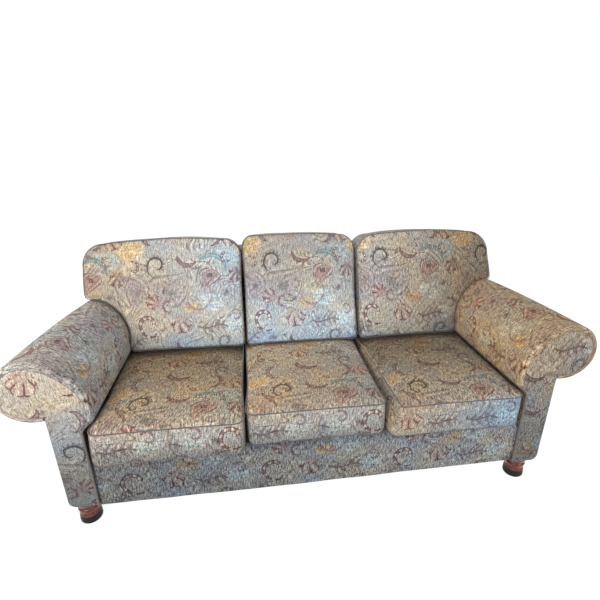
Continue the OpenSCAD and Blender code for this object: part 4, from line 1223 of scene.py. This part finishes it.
class SofaBacks(bpy.types.Operator):
    """Builds the three loose back cushions, the outer ones with ears over the arms."""
    bl_idname = "object.sofa_backs"
    bl_label = "Back Cushions"

    def execute(self, context):
        for name in SEATS:
            self.cushion(name)
        return {"FINISHED"}

    def front_view(self, name, low, high, t):
        """Outline of a cushion, t of the way from its front seam to its rear one."""
        s = sizes()
        base, middle_rise, flatter = BACK_CUSHION_BASE, 0.0165, 0.004
        seam = base + s.back_height - s.top_fall * t
        if name == "middle":
            return middle_outline(low.x, high.x, base, seam + middle_rise, s.top_bulge - flatter)
        rise, corner, slant, smaller = EAR_SHAPES[name]
        inner = low.x if name == "right" else -high.x
        loop = ear_outline(inner, t * s.back_depth, base, seam + rise, s.ear_radius - smaller,
                           s.back_corner + corner, slant)
        if name == "right":
            return loop
        mirrored = [(-x, z) for x, z in loop]
        return [mirrored[0]] + mirrored[:0:-1]

    def cushion(self, name):
        s = sizes()
        low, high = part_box("back_cushion_" + name)
        count = round(loop_length(self.front_view(name, low, high, 0.0)) / s.mesh_step)
        gap, slack = 0.0003, 0.0006

        def outline(t):
            return even_loop(self.front_view(name, low, high, t), count)

        def place(a, b, t, out):
            return (a, back_y(b) - gap - s.back_depth * (1 - t) - out, b)

        def limit(co):
            co[:, 0] = np.clip(co[:, 0], low.x - slack, high.x + slack)
            rear_limit = BACK_PLANE + np.maximum(0, co[:, 2] - DECK_Z) * slope() - gap
            co[:, 1] = np.minimum(co[:, 1], rear_limit)
            co[:, 2] = np.clip(co[:, 2], BACK_CUSHION_BASE, high.z + 0.004)
            return co

        shell, front, rear = cushion_shell(
            outline, place, crown=s.back_crown, power=0.45, rows=13, step=s.mesh_step,
            cloth_shift=BACK_CLOTH[name])
        obj = shell.piece("back_cushion_piece_" + name)
        uneven(obj, amount=0.005, scale=5.0)
        swell(obj, BACK_PRESSURE, limit)
        set_coordinates(obj, limit(coordinates(obj)))
        wash(obj, back_tone(name, low, high))
        co = coordinates(obj)
        smooth_finish(obj)
        finish_piece(obj, "back_" + name, cloth_material("back_chenille"),
                     ("back_cushion_" + name, "back_fill_" + name))
        rear_welt = co[rear] - [0, s.welt * 1.5, 0]
        tube("back_welts_" + name, [(co[front], True), (rear_welt, True)], s.back_welt,
             "back_" + name, welt_material("back_cord", 0.30))


# Arms

def arm_section(share, inset, end=OUTER_X):
    """Section of an arm in X and Z, from the bottom of the inside arm over the roll to its end."""
    s = sizes()
    low_steps, flare_steps, roll_steps = 10, 40, 48
    outer = FACE_X + s.recess
    cx, r = roll_x(share), roll_r(share) - inset
    cz = ARM_TOP - roll_r(share)
    low, high = recess_heights()
    points = [(outer + inset, mix(ARM_LOW, low, k / low_steps)) for k in range(low_steps + 1)]
    for k in range(1, RECESS_STEPS + 1):
        turn = (1 + math.cos(math.pi * k / RECESS_STEPS)) / 2
        points.append((FACE_X + inset + s.recess * turn, mix(low, high, k / RECESS_STEPS)))
    turns = [math.radians(90 * k / flare_steps) for k in range(flare_steps + 1)]
    points += [flare_point(share, inset, a) for a in turns]
    last = math.degrees(math.acos(clamp((end - cx) / r, -1.0, 1.0)))
    points += arc(cx, cz, r, 90, -last, roll_steps)[1:]
    return points


def panel_shell(outline, place, step, thick, cloth_shift, crown=0.004, power=0.5, edge=0.003):
    """Padded panel with an edge rounded by a radius: place(a, b, out) gives a point out in front
    of its backing."""
    edge_steps = 4
    loop = np.array(outline, float)
    shell = Shell()
    tangent = np.roll(loop, -1, axis=0) - np.roll(loop, 1, axis=0)
    inward = np.stack([-tangent[:, 1], tangent[:, 0]], axis=1)
    inward /= np.maximum(np.linalg.norm(inward, axis=1, keepdims=True), 1e-9)
    inner = loop + inward * edge
    points, faces = fill(inner, step)
    rim = len(loop)
    rise = thick + crown * soap_rise(points, faces, rim) ** power
    ids = shell.add([place(p[0], p[1], h) for p, h in zip(points, rise)])
    for f in faces:
        shell.face([ids[i] for i in f], shifted(points, f, cloth_shift))
    last, last_loop = ids[:rim], inner
    bends = [math.radians(90 * k / edge_steps) for k in range(1, edge_steps + 1)]
    rings = [(loop + inward * edge * (1 - math.sin(a)), thick - edge * (1 - math.cos(a))) for a in bends]
    rings.append((loop, 0.0))
    around = list(range(rim)) + [0]
    for ring, height in rings:
        new = shell.add([place(p[0], p[1], height) for p in ring])
        next_loop = ring - inward * (thick - height)
        shell.rows(last, new, shifted(last_loop, around, cloth_shift),
                   shifted(next_loop, around, cloth_shift))
        last, last_loop = new, next_loop
    rear_points, rear_faces = fill(loop, step * 2)
    rear_ids = last + shell.add([place(p[0], p[1], 0.0) for p in rear_points[rim:]])
    for f in rear_faces:
        turned = f[::-1]
        shell.face([rear_ids[i] for i in turned], shifted(rear_points, turned, cloth_shift))
    return shell


def facing_outline():
    """Front view of an arm facing from its bottom inner corner, and the part that has a welt."""
    s = sizes()
    inner, outer = RECESS_X - 0.001, OUTER_X - 0.002
    low, high = recess_heights()
    path = arm_section(0.0, s.facing_inset, FACE_X + s.roll_out - s.roll_radius * 0.33)
    over = [p for p in path if p[1] > high + 0.001][::-1]
    corner = arc(outer - FOOT_CORNER, BASE_Z + FOOT_CORNER, FOOT_CORNER, -90, 0, 4)
    blend = []
    for k in range(RECESS_STEPS, -1, -1):
        share = k / RECESS_STEPS
        turn = (1 + math.cos(math.pi * k / RECESS_STEPS)) / 2
        x = mix(inner - s.recess, FACE_X + s.facing_inset, share) + s.recess * turn
        blend.append((x, mix(low, high, share)))
    welted = over + blend
    return [(inner, BASE_Z), *corner, (outer, over[0][1] - 0.012), *welted], welted


class SofaArms(bpy.types.Operator):
    """Builds the rolled arms: covers, padded facings, outside panels and welts."""
    bl_idname = "object.sofa_arms"
    bl_label = "Arms"

    def execute(self, context):
        mat = cloth_material("arm_chenille")
        for name, side in SIDES.items():
            tone = arm_tone(name, side)
            cover = self.cover(name, side)
            wash(cover, tone)
            finish_piece(cover, "frame", mat,
                         ("arm_cover_" + name, "arm_pad_" + name))
            end = self.rear_end(name, side)
            wash(end, tone)
            finish_piece(end, "frame", mat)
            self.facing(name, side, mat)
            self.outside(name, side, mat)
        return {"FINISHED"}

    def cover(self, name, side):
        """Cover from the front edge over the roll to the raked back, with a wall behind it."""
        count, wall, edge_steps, side_rows = 112, 0.028, 5, 56
        across_cloth, along_cloth = 0.21, 0.4
        edge = sizes().facing_inset
        bends = [math.radians(90 * k / edge_steps) for k in range(edge_steps + 1)]
        rows = [(0.0, edge * (1 - math.sin(a)), -edge * 0.75 * math.cos(a)) for a in bends]
        rows += [(share, 0.0, 0.0) for share in np.linspace(0, 1, side_rows)[1:]]
        shell, lines, cloth = Shell(), [], []
        for share, inset, ahead in rows:
            path = even_path(arm_section(share, inset), count)
            full = [full_roll(share, x, z, side) for x, z in path]
            lines.append(shell.add([(x, mix(ARM_FRONT, back_y(z), share) + ahead * over_facing(z), z)
                                    for x, z in full]))
            depth = share * (back_y(ARM_TOP) - ARM_FRONT) - inset
            cloth.append([(depth + across_cloth, run + along_cloth) for run in distances(path)])
        for a, b, cloth_a, cloth_b in zip(lines, lines[1:], cloth, cloth[1:]):
            shell.rows(b, a, cloth_b, cloth_a, closed=False)
        back = []
        for share in (1.0, 0.66, 0.33, 0.0):
            path = even_path(arm_section(share, wall, OUTER_X - 0.006), count)
            back.append(shell.add([(x, mix(ARM_FRONT, back_y(z), share), z) for x, z in path]))
        blank = [(0.0, 0.0)] * count
        for a, b in zip([lines[-1]] + back, back + [lines[0]]):
            shell.rows(b, a, blank, blank, closed=False)
        for end in (0, count - 1):
            loop = [row[end] for row in lines + back]
            if end == 0:
                loop.reverse()
            shell.face(loop, [(0.0, 0.0)] * len(loop))
        return shell.piece("arm_wrap_" + name, side < 0)

    def rear_end(self, name, side):
        """Panel that closes the rear end of an arm, seen from behind outside the back."""
        inset = 0.006
        path = arm_section(1.0, inset, OUTER_X - inset)
        loop = even_loop(path + [(path[-1][0], ARM_LOW)], 170)[::-1]

        def place(a, b, out):
            return (a, back_y(b) - inset + out, b)

        shell = panel_shell(loop, place, step=0.02, thick=0.005, cloth_shift=(0.7, 0.2),
                            crown=0.0, power=1.0)
        return shell.piece("arm_end_" + name, side < 0)

    def facing(self, name, side, mat):
        s = sizes()
        loop, welted = facing_outline()
        outline = even_loop(loop, round(loop_length(loop) / 0.009))
        blend, drawn_in, welt_behind = 0.1, 0.003, 0.006

        def place(a, b, out):
            x, z = full_roll(0.0, a, b, side)
            beside = clamp((x - RECESS_X) / blend)
            low = clamp((DECK_Z + 0.1 - z) / 0.25) * beside
            fuller = (0.003 + 0.002 * side) * beside * clamp((0.60 - z) / 0.05)
            return (x + fuller - drawn_in * low, ARM_FRONT - out, z)

        thick = ARM_FRONT - FACING_FRONT - 0.001
        shell = panel_shell(outline, place, step=0.012, thick=thick - 0.002,
                            cloth_shift=FACING_CLOTH[name], crown=0.006, edge=0.006)
        obj = shell.piece("arm_front_" + name, side < 0)
        wash(obj, facing_tone(name, side))
        finish_piece(obj, "frame", mat, ("arm_facing_" + name,))
        rim = [full_roll(0.0, x, z, side) for x, z in welted + loop[:1]]
        line = even_path([(side * x, FACING_FRONT + welt_behind, z) for x, z in rim], 160)
        tube("arm_welt_" + name, [(line, False)], s.facing_welt, "frame",
             welt_material("arm_cord", 0.27))

    def outside(self, name, side, mat):
        """Flat padded panel outside an arm, up to the end of its cover under the roll."""
        top = []
        for share in np.linspace(0, 1, 9):
            z = arm_section(share, 0.0)[-1][1] - 0.004
            top.append((mix(ARM_FRONT, back_y(z), share), z))
        loop = [(ARM_FRONT, BASE_Z + FOOT_CORNER), (ARM_FRONT + FOOT_CORNER, BASE_Z),
                (BACK_PLANE, BASE_Z), (BACK_PLANE, DECK_Z)]
        loop += top[::-1]
        outline = even_loop(loop, round(loop_length(loop) / 0.014))

        def place(a, b, out):
            return (OUTER_X - 0.004 + out, a, b)

        shell = panel_shell(outline, place, step=0.02, thick=0.004,
                            cloth_shift=OUTSIDE_ARM_CLOTH[name])
        obj = shell.piece("arm_side_" + name, side < 0)
        wash(obj, plain_tone(*OUTSIDE_TONE))
        finish_piece(obj, "frame", mat, ("outside_arm_" + name,))


# Back, border and deck

class SofaBody(bpy.types.Operator):
    """Builds the front border, the deck and the inside and outside back."""
    bl_idname = "object.sofa_body"
    bl_label = "Border, Deck and Back"

    def execute(self, context):
        self.border()
        self.deck()
        self.back()
        return {"FINISHED"}

    def border(self):
        low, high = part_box("front_border")
        end, bottom = high.x + 0.003, low.z - 0.0045
        left_droop, right_droop = -0.004, 0.008
        loop = even_loop([(-end, bottom), (end, bottom), (end, high.z), (-end, high.z)], 320)

        def place(a, b, out):
            droop = mix(left_droop, right_droop, ramp(-a, -0.8, 0.4)) * ramp(-b, -BASE_Z - 0.05, -BASE_Z)
            return (a, high.y - out, b - droop)

        shell = panel_shell(loop, place, step=0.014, thick=high.y - low.y, cloth_shift=BORDER_CLOTH,
                            crown=0.003, power=0.4)
        obj = shell.piece("seat_border")
        uneven(obj, amount=0.0015, scale=7.0)
        wash(obj, border_tone(low, high))
        finish_piece(obj, "frame", cloth_material("arm_chenille"), ("front_border",))

    def deck(self):
        low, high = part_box("deck_cover")
        pad_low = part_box("deck_pad")[0]
        loop = even_loop([(low.x, low.y), (high.x, low.y), (high.x, high.y), (low.x, high.y)], 200)

        def place(a, b, out):
            return (a, b, pad_low.z + out)

        shell = panel_shell(loop, place, step=0.04, thick=high.z - pad_low.z, cloth_shift=(0.0, 0.0),
                            crown=0.0, power=1.0, edge=0.004)
        obj = shell.piece("seat_deck")
        wash(obj, plain_tone(1, 1, 1))
        finish_piece(obj, "frame", deck_material(), ("deck_cover", "deck_pad"))

    def back(self):
        corner, side_steps, narrower = 0.090, 20, 0.994
        x, shoulder = OUTER_X, BACK_TOP - corner

        def outline(t):
            points = [(0.0, BASE_Z), (x, BASE_Z)]
            points += [(x, mix(BASE_Z, shoulder, k / side_steps)) for k in range(1, side_steps)]
            points += arc(x - corner, shoulder, corner, 0, 90, 12)
            points += arc(-x + corner, shoulder, corner, 90, 180, 12)
            points += [(-x, mix(shoulder, BASE_Z, k / side_steps)) for k in range(1, side_steps)]
            return even_loop(points + [(-x, BASE_Z)], 420)

        def place(a, b, t, out):
            return (a, mix(back_y(b), rear_y(b), t) - out, b)

        def outside_place(a, b, out):
            return (-a, rear_y(b) + out, b)

        mat = cloth_material("arm_chenille")
        shell, _, _ = cushion_shell(outline, place, crown=0.0, power=1.0, rows=8, step=0.03,
                                    cloth_shift=(0.4, 0.8))
        obj = shell.piece("back_wrap")
        wash(obj, plain_tone(*INSIDE_BACK_TONE))
        finish_piece(obj, "frame", mat, ("back_cover", "back_pad"))
        loop = outline(1.0) * [-narrower, 1.0]
        shell = panel_shell(loop, outside_place, step=0.02, thick=0.004, cloth_shift=(0.2, 0.9))
        obj = shell.piece("back_outside_panel")
        wash(obj, plain_tone(*OUTSIDE_TONE))
        finish_piece(obj, "frame", mat, ("outside_back",))


def deck_material():
    """Plain woven duck under the seat cushions."""
    def build(t):
        place = t.object_place()
        warp = t.noise(t.vector("MULTIPLY", place, (900.0, 90.0, 1.0)), 1.0, 2.0)
        weft = t.noise(t.vector("MULTIPLY", place, (90.0, 900.0, 1.0)), 1.0, 2.0)
        both = t.math("ADD", warp, weft)
        colour = t.mix(t.span(both, 0.7, 1.3, 0.0, 1.0), linear("4a433b"), linear("6d6457"))
        return {"Base Color": colour, "Height": (both, 0.4, 0.0008)}
    return material("deck_duck", build, Roughness=0.95)


# Frame, springs and feet

def wood_material(name, light, dark, rough, along):
    """Wood with growth rings and pores along one axis of the object."""
    def build(t):
        place = t.object_place()
        stretch = [38.0, 38.0, 38.0]
        stretch[along] = 2.2
        rings = t.noise(t.vector("MULTIPLY", place, tuple(stretch)), 1.0, 4.0, 0.6, 0.7)
        pores = t.noise(t.vector("MULTIPLY", place, tuple(8 * v for v in stretch)), 1.0, 2.0)
        colour = t.mix(t.step(rings, 0.35, 0.68), light, dark)
        deep = tuple(v * 0.4 for v in dark)
        colour = t.mix(t.times(t.step(pores, 0.6, 0.75), 0.5), colour, deep)
        return {"Base Color": colour, "Roughness": t.span(rings, 0.3, 0.7, rough, rough + 0.12),
                "Height": (pores, 0.15, 0.0006)}
    return material(name, build)


def metal_material(name, colour, rough):
    """Metal with darker scuffs."""
    def build(t):
        place = t.object_place()
        scuff = t.noise(place, 140.0, 3.0, 0.6)
        tone = t.mix(t.step(scuff, 0.45, 0.75), colour, tuple(v * 0.5 for v in colour))
        return {"Base Color": tone, "Roughness": t.span(scuff, 0.3, 0.7, rough, rough + 0.25)}
    return material(name, build, Metallic=1.0)


def cloth_plain(name, light, dark, scale):
    """Plain technical cloth or stuffing on object coordinates."""
    def build(t):
        place = t.object_place()
        fuzz = t.noise(place, scale, 3.0, 0.65)
        return {"Base Color": t.mix(t.step(fuzz, 0.35, 0.7), light, dark), "Height": (fuzz, 0.5, 0.001)}
    return material(name, build, Roughness=0.95)


def cambric():
    return cloth_plain("black_cambric", linear("1c1c1d"), linear("0e0e0f"), scale=500.0)


class SofaFrame(bpy.types.Operator):
    """Gives the frame, springs, hardware and feet their finishes."""
    bl_idname = "object.sofa_frame"
    bl_label = "Frame and Feet"

    def execute(self, context):
        pine = wood_material("frame_pine", linear("c9a877"), linear("a17f4e"), rough=0.6, along=0)
        ply = wood_material("arm_plywood", linear("b99463"), linear("8f6c40"), rough=0.65, along=2)
        finishes = {
            "frame_wood": pine, "plywood": ply,
            "spring_wire": metal_material("spring_steel", linear("8d8f92"), rough=0.35),
            "hardware": metal_material("zinc_plate", linear("b7b9ba"), rough=0.3),
            "webbing": cloth_plain("jute_web", linear("8b6a43"), linear("5d4527"), scale=300.0),
            "filling": cloth_plain("white_foam", linear("e9e2cf"), linear("cfc6ad"), scale=220.0),
            "dust_cloth": cambric(),
            "foot_wood": foot_material(), "foot_base": base_material(),
            "arm_fabric": pine, "cushion_fabric": pine, "deck_cloth": pine,
        }
        slots = {p["node"]: p["material_slot"] for p in frame["record"]["subparts"]}
        for name, obj in frame["nodes"].items():
            mat = finishes[slots.get(name, "frame_wood")]
            for holder in obj.material_slots:
                holder.material = mat
            if not obj.material_slots:
                obj.data.materials.append(mat)
        return {"FINISHED"}


def foot_material():
    """Lacquered turned wood with fine grain along the foot."""
    wood = tuple(colours().wood)

    def build(t):
        place = t.object_place()
        grain = t.noise(t.vector("MULTIPLY", place, (60.0, 60.0, 9.0)), 1.0, 4.0, 0.6, 0.5)
        fine = t.noise(t.vector("MULTIPLY", place, (420.0, 420.0, 60.0)), 1.0, 2.0)
        dark = tuple(v * 0.30 for v in wood)
        light = tuple(min(1.0, v * 1.05) for v in wood)
        colour = t.mix(t.step(grain, 0.35, 0.65), light, dark)
        deep = tuple(v * 0.5 for v in dark)
        colour = t.mix(t.times(t.step(fine, 0.58, 0.75), 0.5), colour, deep)
        return {"Base Color": colour, "Roughness": t.span(fine, 0.3, 0.7, 0.22, 0.36),
                "Height": (fine, 0.1, 0.0004)}
    return material("foot_lacquer", build, Coat_Weight=0.2, Coat_Roughness=0.12, Specular_IOR_Level=0.3)


def base_material():
    """Worn dark paint on the bottom of the feet."""
    def build(t):
        place = t.object_place()
        wear = t.noise(place, 90.0, 3.0, 0.6)
        base = tuple(colours().base)
        return {"Base Color": t.mix(t.step(wear, 0.5, 0.75), base, tuple(v * 2.2 for v in base)),
                "Roughness": t.span(wear, 0.3, 0.7, 0.45, 0.6)}
    return material("foot_base_dark", build, Specular_IOR_Level=0.25)


class SofaUnderside(bpy.types.Operator):
    """Builds the thin cloth stretched under the frame."""
    bl_idname = "object.sofa_underside"
    bl_label = "Dust Cover"

    def execute(self, context):
        low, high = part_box("dust_cover")
        feet = [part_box("foot_%s_%s" % (a, b)) for a in ("front", "rear") for b in SIDES]
        middles = [(a + b) / 2 for a, b in feet]
        cell, sag, half_hole = 0.0155, 0.004, 0.032
        nx, ny = round((high.x - low.x) / cell), round((high.y - low.y) / cell)
        xs, ys = np.linspace(low.x, high.x, nx + 1), np.linspace(low.y, high.y, ny + 1)
        shell, grid, area = Shell(), [], 0.0
        for y in ys:
            v = (y - low.y) / (high.y - low.y)
            row = []
            for x in xs:
                u = (x - low.x) / (high.x - low.x)
                deep = sag * 4 * v * (1 - v) * (1 - (2 * u - 1) ** 8)
                row.append((x, y, high.z - 0.0005 - deep))
            grid.append(shell.add(row))
        for j in range(ny):
            for i in range(nx):
                x, y = (xs[i] + xs[i + 1]) / 2, (ys[j] + ys[j + 1]) / 2
                if any(abs(x - m.x) < half_hole and abs(y - m.y) < half_hole for m in middles):
                    continue
                area += (xs[i + 1] - xs[i]) * (ys[j + 1] - ys[j])
                corners = (grid[j][i], grid[j][i + 1], grid[j + 1][i + 1], grid[j + 1][i])
                shell.face(corners, [(shell.points[c][0], shell.points[c][1]) for c in corners])
        obj = shell.piece("dust_cloth")
        wall = obj.modifiers.new("Solidify", "SOLIDIFY")
        wall.thickness, wall.offset = 0.0006, 0.0
        finish_piece(obj, "frame", cambric(), ("dust_cover",))
        return {"FINISHED"}


# Studio

class SofaStage(bpy.types.Operator):
    """Sets up the camera, the floor, the lamps and the world."""
    bl_idname = "object.sofa_stage"
    bl_label = "Studio"

    def execute(self, context):
        scene = context.scene
        self.camera(scene, (-0.227, -1.7175, 1.420), angles=(20.87, 7.10, -0.49), lens=24.96)
        self.floor(scene)
        self.lamp("key", (-2.2, -4.2, 2.5), size=2.4, power=190, colour=(1.0, 0.99, 0.97))
        self.lamp("fill", (2.8, -3.4, 1.8), size=2.6, power=50, colour=(0.97, 0.98, 1.0))
        self.lamp("top", (0.2, 0.2, 3.6), size=3.0, power=22, colour=(1.0, 0.98, 0.95))
        self.world(scene, strength=0.42)
        scene.view_settings.view_transform = "Standard"
        return {"FINISHED"}

    def camera(self, scene, place, angles, lens):
        """Camera at a place, turned down, to the right and round its own axis by degrees."""
        pitch, yaw, roll = (math.radians(a) for a in angles)
        level = math.cos(pitch)
        ahead = Vector((math.sin(yaw) * level, math.cos(yaw) * level, -math.sin(pitch)))
        right = Vector((math.cos(yaw), -math.sin(yaw), 0))
        up = right.cross(ahead)
        x_axis = right * math.cos(roll) + up * math.sin(roll)
        y_axis = up * math.cos(roll) - right * math.sin(roll)
        data = bpy.data.cameras.new("photo_camera")
        data.sensor_width, data.lens = 36.0, lens
        camera = bpy.data.objects.new("photo_camera", data)
        turned = Matrix((x_axis, y_axis, -ahead)).transposed().to_4x4()
        camera.matrix_world = Matrix.Translation(place) @ turned
        scene.collection.objects.link(camera)
        scene.camera = camera

    def world(self, scene, strength):
        """Even light of a strength on the sofa, and a white background in view and in gloss."""
        world = bpy.data.worlds.new("studio")
        scene.world = world
        world.use_nodes = True
        t = Tree(world.node_tree)
        back = world.node_tree.nodes["Background"]
        path = t.node("ShaderNodeLightPath").outputs
        seen = t.larger(t.larger(path["Is Camera Ray"], path["Is Glossy Ray"]),
                      path["Is Transmission Ray"])
        back.inputs["Color"].default_value = (1, 1, 1, 1)
        t.put(back.inputs["Strength"], t.span(seen, 0.0, 1.0, strength, 1.0))

    def floor(self, scene):
        """Pale paper floor that shows almost white and keeps the sofa's shadow."""
        r, white_share, white = 14.0, 0.80, 1.16
        mesh = bpy.data.meshes.new("studio_floor")
        mesh.from_pydata([(-r, -r, 0), (r, -r, 0), (r, r, 0), (-r, r, 0)], [], [(0, 1, 2, 3)])
        floor = bpy.data.objects.new("studio_floor", mesh)
        scene.collection.objects.link(floor)
        made = bpy.data.materials.new("studio_paper")
        made.use_nodes = True
        t = Tree(made.node_tree)
        shader = made.node_tree.nodes["Principled BSDF"]
        shader.inputs["Roughness"].default_value = 1.0
        shader.inputs["Specular IOR Level"].default_value = 0.0
        place = t.object_place()
        tone = t.span(t.noise(place, 30.0, 2.0), 0.3, 0.7, 0.42, 0.48)
        light = t.node("ShaderNodeEmission")
        light.inputs["Strength"].default_value = white
        path = t.node("ShaderNodeLightPath").outputs
        seen = t.larger(path["Is Camera Ray"], path["Is Glossy Ray"])
        bright = t.math("MULTIPLY_ADD", seen, 0.5, tone)
        t.put(shader.inputs["Base Color"], t.join(bright, bright, bright))
        both = t.node("ShaderNodeMixShader")
        t.put(both.inputs[0], t.times(seen, white_share))
        t.put(both.inputs[1], shader.outputs[0])
        t.put(both.inputs[2], light.outputs[0])
        t.put(made.node_tree.nodes["Material Output"].inputs[0], both.outputs[0])
        mesh.materials.append(made)

    def lamp(self, name, place, size, power, colour):
        """Square lamp that faces the middle of the sofa."""
        middle = Vector((0, 0, 0.5))
        data = bpy.data.lights.new(name, "AREA")
        data.size, data.energy, data.color = size, power, colour
        lamp = bpy.data.objects.new(name, data)
        lamp.location = place
        lamp.rotation_euler = (middle - Vector(place)).to_track_quat("-Z", "Y").to_euler()
        bpy.context.scene.collection.objects.link(lamp)


class SofaPanel(bpy.types.Panel):
    """Lists the builders of the sofa with its sizes and colours."""
    bl_idname = "VIEW3D_PT_sofa"
    bl_label = "Rolled Arm Sofa"
    bl_space_type = "VIEW_3D"
    bl_region_type = "UI"
    bl_category = "Sofa"

    def draw(self, context):
        for operator in OPERATORS:
            self.layout.operator(operator.bl_idname)
        for props in (context.scene.sofa_sizes, context.scene.sofa_colours):
            for name in props.__annotations__:
                self.layout.prop(props, name)


OPERATORS = (SofaStage, SofaSeats, SofaBacks, SofaArms, SofaBody, SofaFrame, SofaUnderside)
CLASSES = (SofaSizes, SofaColours, *OPERATORS, SofaPanel)


def register():
    for cls in CLASSES:
        bpy.utils.register_class(cls)
    bpy.types.Scene.sofa_sizes = PointerProperty(type=SofaSizes)
    bpy.types.Scene.sofa_colours = PointerProperty(type=SofaColours)


def unregister():
    del bpy.types.Scene.sofa_sizes
    del bpy.types.Scene.sofa_colours
    for cls in reversed(CLASSES):
        bpy.utils.unregister_class(cls)


def main():
    register()
    for operator in OPERATORS:
        section, name = operator.bl_idname.split(".")
        getattr(getattr(bpy.ops, section), name)()
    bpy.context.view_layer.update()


if __name__ == "__main__":
    main()
